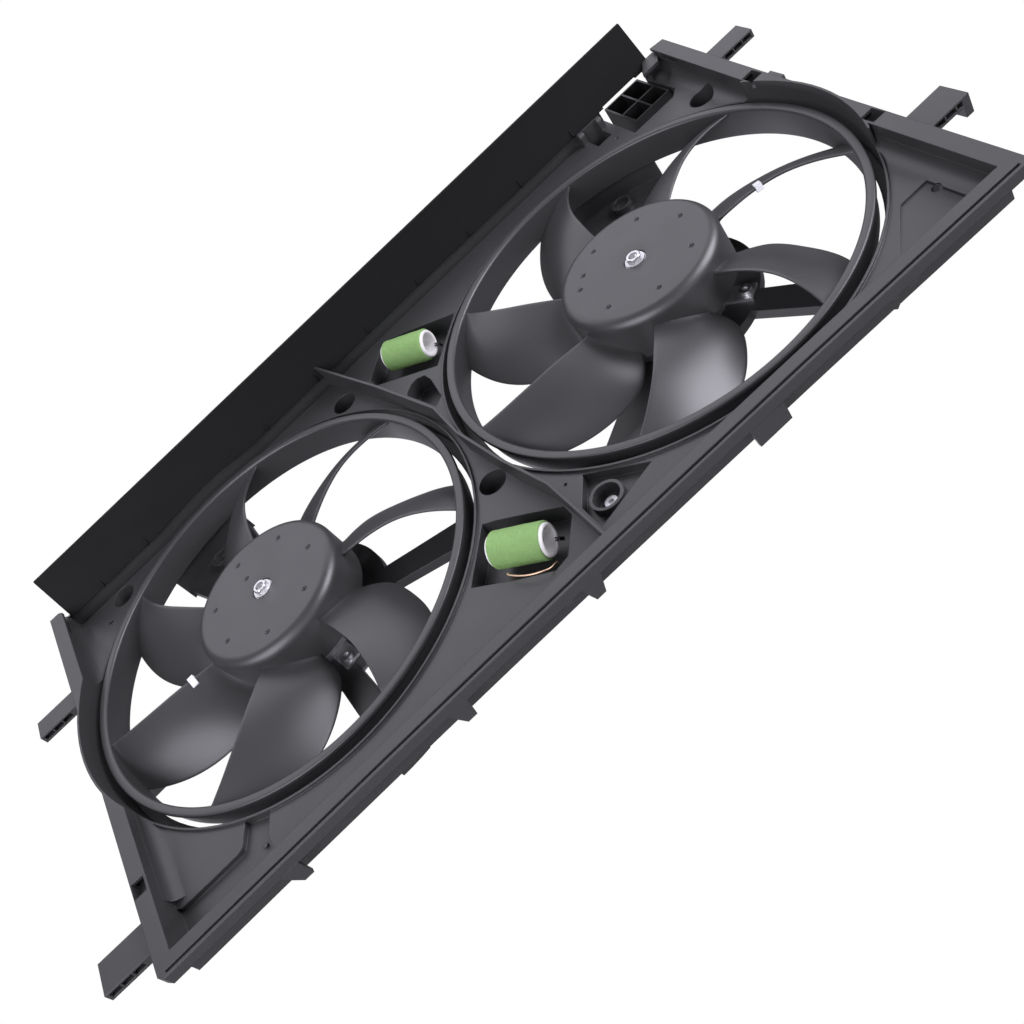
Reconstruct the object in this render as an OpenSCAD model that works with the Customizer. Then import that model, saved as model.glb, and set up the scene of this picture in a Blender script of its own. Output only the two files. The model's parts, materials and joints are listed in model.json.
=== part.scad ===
/* [Fans] */
// Distance of each fan axis from the middle of the shroud
fan_x = 175; // [174:1:178]
// Height of the left axis above, and of the right axis below, the middle
fan_z = 10.3; // [6:0.1:12]
// Outer radius of the lip on the ring that joins the blade tips
ring_r = 165; // [161:0.5:166]
// Width of that lip, from its edge to the inside of the ring
ring_lip_w = 6.8; // [6:0.1:8]
// Wall of the ring's band
ring_wall = 2.2; // [1.6:0.1:2.6]
// Thickness of the ring's front lip
ring_lip_t = 3; // [2:0.1:4]
// Depth of the ring from its lip to its back edge
ring_depth = 24; // [20:0.5:26]
// Radius of the hub
hub_r = 62; // [60:0.5:66]
// Depth of the hub from its face to its back edge
hub_depth = 36; // [32:0.5:38]
// Wall of the hub cup
hub_wall = 2.6; // [2:0.1:3.4]
// Number of blades
blade_count = 7; // [5:1:9]
// Thickness of a blade
blade_t = 2.6; // [2:0.1:3.4]
// Number of dimples in the hub face
dimple_count = 7; // [3:1:9]
// Radius of the circle of dimples
dimple_circle_r = 44; // [38:0.5:48]

/* [Shroud] */
// Wall thickness of the moulding
wall = 2.4; // [1.8:0.1:3]
// Half width of the body at mid height on the left
left_x = 340.6; // [338:0.2:342]
// Half width of the body at mid height on the right
right_x = 346; // [344:0.2:348]
// Outward lean of the two ends from the vertical, in degrees
end_lean = 1.9; // [0.5:0.1:2.5]
// Depth of the bottom rail below the middle, at its ends
bottom_z = 206.4; // [204:0.2:210]
// Rise of the middle of the bottom rail
bottom_bow = 4.4; // [0:0.1:5]
// Height of the left top corner above the middle
top_left_z = 181; // [179:0.5:183]
// Height of the right top corner above the middle
top_right_z = 191; // [188:0.5:192]
// Width of the end flanges
flange_w = 12.6; // [11:0.1:14]
// Width of the bottom rail
rail_w = 9.2; // [7:0.1:10]
// Gap between the bottom rail and the bead under it
bead_gap = 2.3; // [1.5:0.1:3]
// Thickness of the bead round the outer edge
bead_t = 2.2; // [1.6:0.1:3]
// Depth of that bead behind the rim
bead_depth = 8.4; // [6:0.1:11]
// Depth of the tray floor behind the rim
floor_y = 20; // [18:0.5:21]
// Further depth of the low parts of the floor
floor_step = 4; // [2:0.5:6]
// Gap between a ring's lip and the well round it
well_gap = 6; // [4.5:0.1:6.4]
// Thickness of the wells' walls
well_wall = 1.6; // [1.2:0.1:2]
// Stand of the wells in front of the floor
well_stand = 2; // [1:0.1:4]
// Width of the lip at the back of each well
throat_lip = 7.4; // [6.6:0.1:8]
// Depth of the back of the wells behind the rim
well_back_y = 40; // [38.5:0.5:44]
// Thickness of the rib wall that runs between the fans
rib_t = 2; // [1.4:0.1:2.6]
// Radius of the round cups in the floor
cup_r = 10.6; // [8:0.1:11]
// Depth of those cups
cup_depth = 16; // [8:0.5:20]
// Depth of the resistor pockets behind the rim
pocket_back_y = 34; // [33:0.5:36]

/* [Top channel and deflector] */
// Depth of the lip that carries the deflector, behind the rim
lip_y = 9.5; // [8:0.5:11]
// Height of that lip above the middle
root_z = 182.2; // [181:0.1:183]
// Rise of the lip from left to right, in degrees
top_tilt = 0.8; // [0:0.05:1]
// Height of the channel's roof above the lip
top_rise = 4; // [3:0.1:6]
// Depth of the channel behind the rim
channel_y = 29; // [26:0.5:32]
// Run of the air deflector in front of the lip
deflector_run = 37.5; // [30:0.5:45]
// Rise of the air deflector for each unit of its run
deflector_slope = 0.464; // [0.3:0.002:0.6]
// Height of the air deflector's edge
deflector_h = 2.4; // [1.8:0.1:3]

/* [Tongues and lugs] */
// Depth of the front face of the tongues behind the rim
tongue_y = 6; // [4:0.5:8]
// Thickness of the tongues
tongue_t = 6.8; // [5:0.1:8]
// Length of each of the three hollows in a tongue
hollow_w = 8.2; // [6:0.1:9]
// Depth of the moulded hollows in a tongue's lower side
tongue_pocket = 9; // [5:0.5:12]

/* [Motors] */
// Radius of the motor can
can_r = 50; // [46:0.5:51]
// Sheet thickness of the motor can
can_t = 1.8; // [1.2:0.1:2.4]
// Depth of the can's front face behind the rim
can_y = 26; // [24:0.5:28]
// Length of the can
can_len = 56; // [52:0.5:62]
// Thickness of the rear end cap
cap_t = 6; // [5:0.5:8]
// Radius of the motor shaft
shaft_r = 4; // [3.5:0.1:4.5]
// Radial running clearance of the shaft in its bearings
run_gap = 0.05; // [0.02:0.01:0.09]
// Depth of the motor ring behind the rim
mount_y = 56; // [54:0.5:60]
// Thickness of the motor ring and its arms
mount_t = 8; // [6:0.5:10]
// Width of the motor ring
mount_ring_w = 22; // [18:0.5:26]
// Distance of the motor screws outside the can
screw_out = 14; // [12:0.5:15]
// Number of motor screws
screw_count = 3; // [3:1:4]
// Air gap between armature and magnets
air_gap = 0.8; // [0.5:0.1:1.2]

/* [Resistors] */
// Radius of the green coated part of a resistor
coat_r = 12.8; // [11.5:0.1:13.5]
// Radius of the ceramic core
core_r = 11; // [9.5:0.1:11.3]
// Radius of the hole through the core
core_hole_r = 7.4; // [6:0.1:8]
// Length of the green coating
coat_len = 38; // [34:0.5:42]
// Length of ceramic that shows at each end
core_end = 2; // [1:0.1:4]
// Depth of a resistor's axis behind the rim
resistor_y = 18; // [16:0.5:20]
// Turn of the resistors' axes below the horizontal
resistor_turn = 43; // [40:1:46]

/* [Hidden] */
$fn = 96;
eps = 0.01;

plastic = "#2f2f33";
plastic_light = "#4c4c51";
steel = "silver";

// Sides: the left fan is -1 and the right fan is 1, seen from the front
left = -1;
right = 1;
// Depths behind the rim
ring_y = 14;
ring_back_y = ring_y + ring_depth;
ring_inner_r = ring_r - ring_lip_w;
well_r = ring_r + well_gap;
throat_r = well_r - throat_lip;
screw_circle_r = can_r + screw_out;
hub_y = ring_y - 9.4;
hub_back_y = hub_y + hub_depth;
can_back_y = can_y + can_len;
cap_back_y = can_back_y + cap_t;
mount_back_y = mount_y + mount_t;
deep_y = floor_y + floor_step;
corner_back_y = floor_y + 7;
half_w = (left_x + right_x) / 2;
corner_cut = 4;
fillet_r = 11;
fillet_sink = 0.2;

// Outline of the body in plan: x to the right and z up
function edge_x(side, z) = side * ((side > 0 ? right_x : left_x) + z * tan(end_lean));
function bottom_at(x) = bottom_bow * (1 - pow(x / half_w, 2)) - bottom_z;
function top_at(x, rise) = root_z + rise + x * tan(top_tilt);
function bottom_line(xa, xb, rise) = [for (i = [0:8]) let (x = xa + (xb - xa) * i / 8) [x, bottom_at(x) + rise]];

// A plan shape that fills the depth from y0 to y1
module slab(y0, y1) {
  translate([0, y1, 0]) rotate([90, 0, 0]) linear_extrude(y1 - y0) children();
}

// A profile of [radius, depth] points turned about an axis along the depth
module turned(points) {
  rotate([-90, 0, 0]) rotate_extrude() polygon(points);
}

// A plain disc or ring between two depths
module disc(r, y0, y1) {
  translate([0, y0, 0]) rotate([-90, 0, 0]) cylinder(r = r, h = y1 - y0);
}

module tube(r, inner_r, y0, y1) {
  difference() {
    disc(r, y0, y1);
    disc(inner_r, y0 - 1, y1 + 1);
  }
}

module at_fan(side) {
  translate([side * fan_x, 0, -side * fan_z]) children();
}

// A straight strip of a plan between two points, run on past both of them
module strip(a, b, w, past) {
  translate(a) rotate(atan2(b[1] - a[1], b[0] - a[0])) translate([-past, -w / 2]) square([norm(b - a) + 2 * past, w]);
}

// Fan wheel: a shallow cup with a rounded face, swept blades and a tip ring

// Fractions of the span from the hub to the ring, with the angle of the blade's front edge
// and back edge there. Angles run anticlockwise seen from the front; the wheel turns clockwise.
span_stops = [0, 0.13, 0.27, 0.51, 0.76, 1];
front_edge = [8.5, 8.3, 7.8, 6.4, 3.5, 0];
back_edge = [44, 45.5, 44, 35, 25.5, 15.6];
blade_front_y = ring_y + 4;
blade_back_y = ring_back_y - 1.5;
// Reach of the blades in front of and behind the ring at the middle of their span
front_swell = 6.5;
back_swell = 8;
chord_steps = 6;
span_steps = 7;
blade_root_r = hub_r - 1.4;
blade_tip_r = ring_inner_r + ring_wall / 2;

function blend_at(stops, values, u) = lookup(u, [for (i = [0:len(stops) - 1]) [stops[i], values[i]]]);
function blade_angle(u, s) =
  blend_at(span_stops, front_edge, u) * (1 - s) + blend_at(span_stops, back_edge, u) * s;
function blade_depth(u, s) =
  let (front = blade_front_y - front_swell * sin(180 * u), back = blade_back_y + back_swell * sin(180 * u))
  front + (back - front) * (s - 0.1 * sin(180 * s));
// A point of the blade's front or back face, grown by a margin on both faces and at the front edge
function blade_point(i, j, back, grow) =
  let (u = i / span_steps, s = j / chord_steps, r = blade_root_r + (blade_tip_r - blade_root_r) * u,
    a = blade_angle(u, s) - asin(grow / r), half = blade_t / 2 * min(1, 4 * s * (1 - s) + 0.45) + grow)
  [r * cos(a), blade_depth(u, s) + (back ? half : -half), r * sin(a)];

module blade(grow = 0) {
  row = chord_steps + 1;
  sheet = row * (span_steps + 1);
  front = [for (i = [0:span_steps], j = [0:chord_steps]) blade_point(i, j, false, grow)];
  back = [for (i = [0:span_steps], j = [0:chord_steps]) blade_point(i, j, true, grow)];
  quads = [for (i = [0:span_steps - 1], j = [0:chord_steps - 1]) let (a = i * row + j) [a, a + 1, a + row + 1, a + row]];
  border = concat([for (j = [0:chord_steps - 1]) j],
    [for (i = [0:span_steps - 1]) i * row + chord_steps],
    [for (j = [chord_steps:-1:1]) span_steps * row + j],
    [for (i = [span_steps:-1:1]) i * row]);
  n = len(border);
  faces = concat(
    [for (q = quads) [q[0], q[1], q[2]]], [for (q = quads) [q[0], q[2], q[3]]],
    [for (q = quads) [q[2] + sheet, q[1] + sheet, q[0] + sheet]],
    [for (q = quads) [q[3] + sheet, q[2] + sheet, q[0] + sheet]],
    [for (k = [0:n - 1]) let (a = border[k], b = border[(k + 1) % n]) [a, a + sheet, b + sheet]],
    [for (k = [0:n - 1]) let (a = border[k], b = border[(k + 1) % n]) [a, b + sheet, b]]);
  polyhedron(concat(front, back), faces);
}

hub_round = 8;
recess_r = 8.5;
recess_depth = 1.2;
dimple_r = 1.6;
insert_r = 8;
boss_wall_r = insert_r + 5;
insert_y = hub_y + recess_depth;
insert_back_y = can_y - 3;

module hub_shell() {
  turned(concat(
    [[insert_r, hub_y + recess_depth], [recess_r, hub_y + recess_depth], [recess_r, hub_y]],
    [for (a = [0:15:90]) [hub_r - hub_round + hub_round * sin(a), hub_y + hub_round - hub_round * cos(a)]],
    [[hub_r, hub_back_y], [hub_r - hub_wall, hub_back_y]],
    [for (a = [90:-30:0]) [hub_r - hub_round + (hub_round - hub_wall) * sin(a),
      hub_y + hub_round - (hub_round - hub_wall) * cos(a)]],
    [[boss_wall_r, hub_y + hub_wall], [boss_wall_r, insert_back_y], [insert_r, insert_back_y]]));
}

module tip_ring() {
  turned([[ring_inner_r, ring_y], [ring_r, ring_y], [ring_r, ring_y + ring_lip_t],
    [ring_inner_r + ring_wall, ring_y + ring_lip_t], [ring_inner_r + ring_wall, ring_back_y],
    [ring_inner_r, ring_back_y]]);
}

module hub_ribs() {
  y0 = hub_y + hub_wall - 0.4;
  for (i = [0:blade_count - 1]) rotate([0, i * 360 / blade_count, 0]) translate([0, 0, -1]) linear_extrude(2)
    polygon([[boss_wall_r - 1, y0], [hub_r - 6, y0], [hub_r - 2, y0 + 5], [hub_r - 2, can_y - 4], [boss_wall_r - 1, can_y - 4]]);
}

module fan_wheel(side, turn) {
  color(plastic) at_fan(side) rotate([0, -turn, 0]) difference() {
    union() {
      hub_shell();
      hub_ribs();
      tip_ring();
      for (i = [0:blade_count - 1]) rotate([0, -i * 360 / blade_count, 0]) blade();
    }
    for (i = [0:dimple_count - 1]) rotate([0, -(i + 0.5) * 360 / dimple_count, 0])
      translate([dimple_circle_r, hub_y - 1, 0]) rotate([-90, 0, 0]) cylinder(r = dimple_r, h = 2, $fn = 24);
  }
}

module hub_insert(side) {
  color(steel) at_fan(side) tube(insert_r, shaft_r + 0.02, insert_y, insert_back_y);
}

// Shaft with a threaded front end that takes the washer and the nut
thread_r = 3;
washer_r = 7.5;
washer_t = 1.2;
nut_af = 10;
nut_h = 3.4;
shaft_nose_y = insert_y - washer_t - nut_h - 0.6;
shoulder_y = insert_y + 0.5;
shaft_back_y = cap_back_y - 1.5;

module motor_shaft(side) {
  color(steel) at_fan(side) turned([[0, shaft_nose_y], [thread_r - 0.6, shaft_nose_y],
    [thread_r, shaft_nose_y + 0.6], [thread_r, shoulder_y], [shaft_r, shoulder_y],
    [shaft_r, shaft_back_y], [0, shaft_back_y]]);
}

module shaft_washer(side) {
  color(steel) at_fan(side) tube(washer_r, thread_r + 0.2, insert_y - washer_t, insert_y);
}

module shaft_nut(side) {
  color(steel) at_fan(side) difference() {
    translate([0, insert_y - washer_t - nut_h, 0]) rotate([-90, 0, 0])
      cylinder(r = nut_af / 2 / cos(30), h = nut_h, $fn = 6);
    disc(thread_r + 0.02, insert_y - washer_t - nut_h - 1, insert_y);
  }
}

// Balance clip: a block pushed over a blade's front edge, with a slot that follows the blade
clip_w = 5;
clip_len = 9;
clip_wall = 1;
clip_gap = 0.2;
clip_h = blade_t + 2 * clip_wall + 2 * clip_gap;

module balance_clip(side, angle, r) {
  u = (r - blade_root_r) / (blade_tip_r - blade_root_r);
  bite = 0.12;
  run = r * (blade_angle(u, bite) - blade_angle(u, 0)) * PI / 180;
  tilt = atan((blade_depth(u, bite) - blade_depth(u, 0)) / run);
  color("gainsboro") at_fan(side) rotate([0, -angle, 0]) difference() {
    rotate([0, -blade_angle(u, 0), 0]) translate([r, blade_depth(u, 0), 0]) rotate([-tilt, 0, 0])
      translate([-clip_w / 2, -clip_h / 2, -clip_gap - clip_wall]) cube([clip_w, clip_h, clip_len]);
    blade(clip_gap);
  }
}

// Motor: steel can, rear cap, magnets, wound armature, commutator, brushes and two bearings
bearing_r = 9;
bearing_len = 9;
boss_t = 2.4;
boss_r = bearing_r + boss_t;
front_bearing_y = can_y + 0.6;
rear_bearing_y = can_back_y - bearing_len + cap_t - 2.4;
magnet_t = 8;
magnet_count = 4;
magnet_arc = 74;
magnet_y0 = can_y + 8;
magnet_len = 32;
armature_r = can_r - can_t - 0.2 - magnet_t - air_gap;
core_y0 = can_y + 12;
core_len = 24;
slot_count = 12;
commutator_r = 11;
commutator_y0 = core_y0 + core_len + 9;
commutator_len = 5;
plate_y = commutator_y0 - 2.6;
ear_w = 15;
ear_r = screw_circle_r + 6;
ear_y = mount_y - 2;
screw_r = 2.5;
screw_head_r = 4.6;
screw_head_h = 3.4;
ear_turn = [-77, -52];

function screw_angles(side) = [for (i = [0:screw_count - 1]) i * 360 / screw_count + (side < 0 ? ear_turn[0] : ear_turn[1])];

module motor_can(side) {
  color(steel) at_fan(side) difference() {
    union() {
      turned([[boss_r, can_y], [can_r - 4, can_y], [can_r, can_y + 4], [can_r, can_back_y],
        [can_r - can_t, can_back_y], [can_r - can_t, can_y + 4.4], [can_r - 4.4, can_y + can_t],
        [boss_r, can_y + can_t]]);
      tube(boss_r, bearing_r + 0.02, can_y, front_bearing_y + bearing_len);
      tube(boss_r, shaft_r + 1, can_y - 0.4, front_bearing_y);
      slab(ear_y, mount_y) for (a = screw_angles(side)) difference() {
        rotate(a) translate([can_r - 1, -ear_w / 2]) square([ear_r - can_r + 1, ear_w]);
        circle(r = can_r - 0.5);
      }
    }
    for (a = screw_angles(side)) rotate([0, -a, 0]) translate([screw_circle_r, 0, 0]) disc(screw_r + 0.3, ear_y - 1, mount_y + 1);
  }
}

module motor_end_cap(side) {
  color("dimgray") at_fan(side) difference() {
    turned([[0, cap_back_y], [0, cap_back_y - 1.4], [bearing_r + 0.02, cap_back_y - 1.4],
      [bearing_r + 0.02, rear_bearing_y], [boss_r, rear_bearing_y], [boss_r, can_back_y + 0.02],
      [can_r, can_back_y + 0.02], [can_r, cap_back_y - 3], [can_r - 3, cap_back_y]]);
    for (a = [20:40:340]) rotate([0, -a, 0]) translate([30, 0, 0]) disc(3.2, can_back_y - 1, cap_back_y + 1);
  }
}

module bearing(side, y0) {
  color("slategray") at_fan(side) turned([[shaft_r + run_gap, y0 + 0.02], [bearing_r, y0 + 0.02],
    [bearing_r, y0 + bearing_len - 0.4], [shaft_r + run_gap, y0 + bearing_len - 0.4]]);
}

module motor_magnets(side) {
  color("darkslategray") at_fan(side) slab(magnet_y0, magnet_y0 + magnet_len)
    for (i = [0:magnet_count - 1]) rotate(i * 360 / magnet_count) intersection() {
      difference() {
        circle(r = can_r - can_t - 0.2);
        circle(r = can_r - can_t - 0.2 - magnet_t);
      }
      polygon([[0, 0], [2 * can_r, -2 * can_r * tan(magnet_arc / 2)], [2 * can_r, 2 * can_r * tan(magnet_arc / 2)]]);
    }
}

module armature_core(side) {
  color("slategray") at_fan(side) slab(core_y0, core_y0 + core_len) difference() {
    circle(r = armature_r);
    circle(r = shaft_r + 0.02);
    for (i = [0:slot_count - 1]) rotate(i * 360 / slot_count) {
      translate([armature_r - 10, -2.6]) square([7, 5.2]);
      translate([armature_r - 5, -1]) square([6, 2]);
    }
  }
}

module armature_winding(side) {
  color("chocolate") at_fan(side) {
    turned([[14, core_y0 - 6], [armature_r - 6, core_y0 - 6], [armature_r - 3.4, core_y0 - 3],
      [armature_r - 3.4, core_y0 - 0.02], [14, core_y0 - 0.02]]);
    turned([[14, core_y0 + core_len + 0.02], [armature_r - 3.4, core_y0 + core_len + 0.02],
      [armature_r - 3.4, core_y0 + core_len + 3], [armature_r - 6, core_y0 + core_len + 5.4],
      [14, core_y0 + core_len + 5.4]]);
    slab(core_y0 - 0.02, core_y0 + core_len + 0.02) for (i = [0:slot_count - 1]) rotate(i * 360 / slot_count)
      translate([armature_r - 9.8, -2.4]) square([6.2, 4.8]);
  }
}

module commutator(side) {
  color("peru") at_fan(side) tube(commutator_r, shaft_r + 0.02, commutator_y0 - 0.6, commutator_y0 + commutator_len);
}

module brush_plate(side) {
  color("#3a3a3a") at_fan(side) difference() {
    disc(can_r - can_t - 0.02, plate_y, plate_y + 2);
    disc(commutator_r + 1.2, plate_y - 1, plate_y + 3);
  }
}

module carbon_brushes(side) {
  color("#222222") at_fan(side) for (a = [0, 180]) rotate([0, a, 0])
    translate([commutator_r + 0.3, plate_y + 2, -4]) cube([16, 5.6, 8]);
}

screw_len = 9;
module motor_screws(side) {
  color(steel) at_fan(side) for (a = screw_angles(side)) rotate([0, -a, 0]) translate([screw_circle_r, 0, 0]) {
    difference() {
      disc(screw_head_r, ear_y - screw_head_h, ear_y);
      translate([0, ear_y - screw_head_h - 1, 0]) rotate([-90, 0, 0]) cylinder(r = 2.2, h = 2.6, $fn = 6);
    }
    disc(screw_r, ear_y - eps, ear_y + screw_len);
  }
}

// Turn of each wheel, as the angle of one blade's tip
left_turn = 229.5;
right_turn = 78.1;

// Shroud

// Arms that carry each motor ring: angle, width at the motor and width at the well
left_arms = [[104, 34, 78], [181, 20, 24], [-85, 18, 24], [-19, 20, 26]];
right_arms = [[68, 34, 78], [218, 20, 34], [-58, 20, 26]];
mount_inner_r = can_r;
mount_ring_r = can_r + mount_ring_w;
web_boss_r = 9;

// Low areas of the floor at the two lower corners, the first with rounded inside corners
step_round = 5;
low_left = [[-329, -149], [-319.9, -157.6], [-269.3, -156.6], [-260.2, -139.4], [-240, -143],
  [-250, -164], [-247, -198], [-329, -198]];
crease = 1.2;
low_right = [[296, -142], [333, -142], [333, -198], [262, -198], [262, -176]];

rib_path = [[-45, 187], [-17.8, 96.5], [1.8, 21], [1.4, -20], [9.3, -78.1], [19, -126.5], [20.5, -195]];
cups = [[-287.9, 163.3], [-46.4, 144.8], [-4.4, -63.4], [325, 108.5]];
upper_resistor = [21, 132.6];
lower_resistor = [-18.9, -132];
upper_pocket = [[-18, 143], [6, 170], [16, 172], [61, 135], [68, 130], [27.5, 89.6], [-18, 131]];
lower_pocket = [[-60.6, -126.2], [-28.7, -88], [-20.1, -94.8], [17, -130.3], [17, -141], [-2.9, -165.7],
  [-14, -167.7], [-37.3, -148.5]];
pockets = [upper_pocket, lower_pocket];
corner_pocket = [[39.7, -121], [74, -155.6], [24, -167.7], [24, -143]];
small_pocket = [[251.4, 164.5], [266.1, 164.5], [266.1, 183], [251.4, 183]];
window_plan = [[-5.5, 88.5], [-3, 92.5], [3, 96.2], [9, 96.6], [15.2, 92.6], [16.4, 82], [13, 55], [4.5, 49.5]];
bolt_at = [40, -149.5];
bolt_cup_r = 9.6;
bolt_y = 31;
bolt_r = 3;
bolt_head_r = 4.6;
screw_hole_at = [316.1, -152.2];
screw_hole_r = 3.2;
slot_at = [326.6, -153];
drain_slot = [-308.3, 144.8, 4, 3];
floor_dots = [[298.8, -145.8], [265, 153.9], [27.5, -116.6]];
dot_r = 1.3;
floor_pin = [-255.1, -164.7];
pin_r = 1.8;
flange_notches = [[-335.5, -145.4], [336.1, 44.2], [332.3, -89.2]];

// Ends of the channel, and the height of its lower lip at a given x
channel_x = [-338, 244];
function lower_lip_z(x) = 181.7 + 0.0185 * x;

// The deflector: its ends, the bulge that clears the left well, the notch for the connector, and its gussets
deflector_x = [-332, 333];
deflector_profile = [[0, 0], [-deflector_run, deflector_slope * deflector_run],
  [-deflector_run, deflector_slope * deflector_run + deflector_h], [0, deflector_h]];
lip_bulge = [[-236, 1], [-236, 0], [-212, -1.7], [-190, -2.6], [-165, -2.6], [-148, -1.7], [-128, 0], [-128, 1]];
notch_x = [279, 316];
gusset_x = [-296, -246, -109, -51, 8, 66, 125, 184, 244];

// Tongues: tip x, low z and high z
tongue_tips = [[-375, -181.9, -157.3], [-383, 69.2, 87.9], [387, 110, 130.2], [376.7, -124.9, -100.8]];

// Lugs: x and reach of each corner, from the left end
lug_plans = [[[-248, 0], [-240, 15], [-233, 15], [-233, 0]], [[-116, 0], [-110, 14.6], [-103, 14.6], [-100.5, 0]],
  [[-12, 0], [-8, 15], [-1, 15], [4, 0]], [[120, 0], [121, 16], [145.5, 16], [146, 0]],
  [[-25, 0], [-22.5, 3], [-19.5, 3], [-17, 0]], [[228, 0], [230.5, 3], [233.5, 3], [236, 0]],
  [[240, 0], [243, 4.4], [248, 4.4], [252, 0]]];

// Connector housing: an open box with four cells, set in a cut-out of the floor
cutout = [275.2, 325.8];
cutout_z = 140.2;
bridge_w = 5;
box_x = [284.8, 323];
box_z = [152.4, 203];
box_y = floor_y;
box_back_y = floor_y + 24;
box_t = 1.8;
box_deep = 18;
cell_w = (box_x[1] - box_x[0] - 3 * box_t) / 2;
cell_h = [20, box_z[1] - box_z[0] - 20 - 3 * box_t];

// Thermal link wire: its path in x, depth and z, and its radius
link_r = 0.7;
link_path = [[-36, pocket_back_y, -145], [-36, 17, -144], [-37, 14, -146], [-26, 15, -157.5], [-15, 17, -162.5],
  [-9.5, 20, -159], [-9.5, pocket_back_y, -159]];

// Plan of the tray's inside, grown by a margin
function tray_plan(grow) =
  let (xa = edge_x(left, -190) + flange_w - grow, xb = edge_x(right, -190) - flange_w + grow)
  concat(bottom_line(xa, xb, rail_w - grow), [
    [edge_x(right, top_right_z) - flange_w + grow, top_at(right_x, top_rise + grow)],
    [edge_x(left, top_left_z) + flange_w - grow, top_at(-left_x, top_rise + grow)]]);

// Plan of the end flanges, the rail and the tray together
function body_plan(drop) =
  let (xa = edge_x(left, -bottom_z), xb = edge_x(right, -bottom_z))
  concat([[xa, bottom_at(xa) - drop + corner_cut]],
    bottom_line(xa + corner_cut, xb - corner_cut, -drop),
    [[xb, bottom_at(xb) - drop + corner_cut],
    [edge_x(right, top_right_z - 5), top_right_z - 5], [edge_x(right, top_right_z) - 22, top_right_z],
    [edge_x(left, top_left_z) + 13, top_left_z], [edge_x(left, top_left_z), top_left_z]]);

module flanges() {
  difference() {
    slab(0, wall) polygon(body_plan(bead_gap + bead_t));
    slab(-1, wall + 1) open_plan();
  }
}

// The tray's inside, run on past its top edge, where there is no flange
module open_plan() {
  polygon(tray_plan(0));
  translate([0, 2 * top_rise]) polygon(tray_plan(0));
}

module bead_slot() {
  xa = edge_x(left, -bottom_z) + 6;
  xb = edge_x(right, -bottom_z) - 6;
  slab(-1, bead_depth - wall) polygon(concat(bottom_line(xa, xb, -bead_gap), bottom_line(xb, xa, 0)));
}

module skirt() {
  slab(0, bead_depth) difference() {
    polygon(body_plan(bead_gap + bead_t));
    translate([0, bead_t]) polygon([
      [edge_x(left, -bottom_z) + bead_t, -bottom_z - bead_gap], [0, bottom_bow - bottom_z - bead_gap],
      [edge_x(right, -bottom_z) - bead_t, -bottom_z - bead_gap],
      [edge_x(right, top_right_z + 20) - bead_t, top_right_z + 20],
      [edge_x(left, top_left_z + 20) + bead_t, top_left_z + 20]]);
  }
  slab(bead_depth - wall, bead_depth) difference() {
    polygon(body_plan(bead_gap + bead_t));
    open_plan();
  }
}

// Solid corners where a well's wall runs into the skirt below a tongue and below the nub
module skirt_fills() {
  translate([-341.5, 1, 57]) cube([6, 6.5, 13]);
  translate([341, 1, 20]) cube([4.4, 6.5, 5]);
}

module tray() {
  slab(0, deep_y + wall) difference() {
    polygon(tray_plan(wall));
    polygon(tray_plan(0));
    translate([-half_w, 150]) square([2 * half_w, 100]);
  }
  slab(lip_y, deep_y + wall) intersection() {
    difference() {
      polygon(tray_plan(wall));
      polygon(tray_plan(0));
    }
    translate([-half_w, 150 - eps]) square([2 * half_w, 100]);
  }
  difference() {
    slab(floor_y, deep_y + wall) polygon(tray_plan(wall));
    slab(floor_y - 1, deep_y) offset(r = -step_round, $fn = 24) offset(delta = step_round) polygon(low_left);
    slab(floor_y - 1, floor_y + crease) polygon(low_right);
  }
}

// The large fillet between the end walls and the floor, from its foot to its head
fillet_foot = [-152, -190];
fillet_head = 165;

module end_fillets() {
  for (side = [left, right])
    translate([edge_x(side, 0) - side * flange_w, 0, 0]) rotate([0, side * end_lean, 0])
      translate([0, 0, fillet_foot[side < 0 ? 0 : 1]])
        linear_extrude(fillet_head - fillet_foot[side < 0 ? 0 : 1]) polygon(concat([[side * wall / 2, floor_y + 1]],
        [for (a = [0:9:90]) [side * (fillet_r * sin(a) - fillet_r), floor_y + fillet_sink - fillet_r + fillet_r * cos(a)]],
        [[side * wall / 2, floor_y - fillet_r]]));
}

// Heights, from the axis of its fan, between which a well's wall comes forward to the rim
well_rise = [-79, 66];

module wells() {
  for (side = [left, right]) at_fan(side) {
    disc(well_r + well_wall, floor_y - well_stand, well_back_y);
    intersection() {
      disc(well_r + well_wall, 0, floor_y);
      translate([side * well_r - well_r / 3, 0, well_rise[0]]) cube([2 * well_r / 3, floor_y, well_rise[1] - well_rise[0]]);
    }
  }
}

module well_holes() {
  for (side = [left, right]) at_fan(side) {
    disc(well_r, -1, well_back_y - well_wall);
    disc(throat_r, -1, well_back_y + 1);
  }
}

// A pocket sunk into the floor: its walls follow the edges of a plan
module pocket_body(points, depth) {
  n = len(points);
  slab(floor_y, depth + wall) {
    polygon(points);
    for (i = [0:n - 1]) strip(points[i], points[(i + 1) % n], 2 * wall, wall);
  }
}

module pocket_cut(points, depth) {
  slab(-1, depth) polygon(points);
}

module cup_body(p, r, depth) {
  translate([p[0], 0, p[1]]) disc(r + wall, floor_y, depth + wall);
}

module cup_cut(p, r, depth) {
  translate([p[0], 0, p[1]]) disc(r, -1, depth);
}

module rib_wall() {
  slab(0, floor_y + 1) for (i = [0:len(rib_path) - 2]) strip(rib_path[i], rib_path[i + 1], rib_t, rib_t / 4);
}

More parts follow.
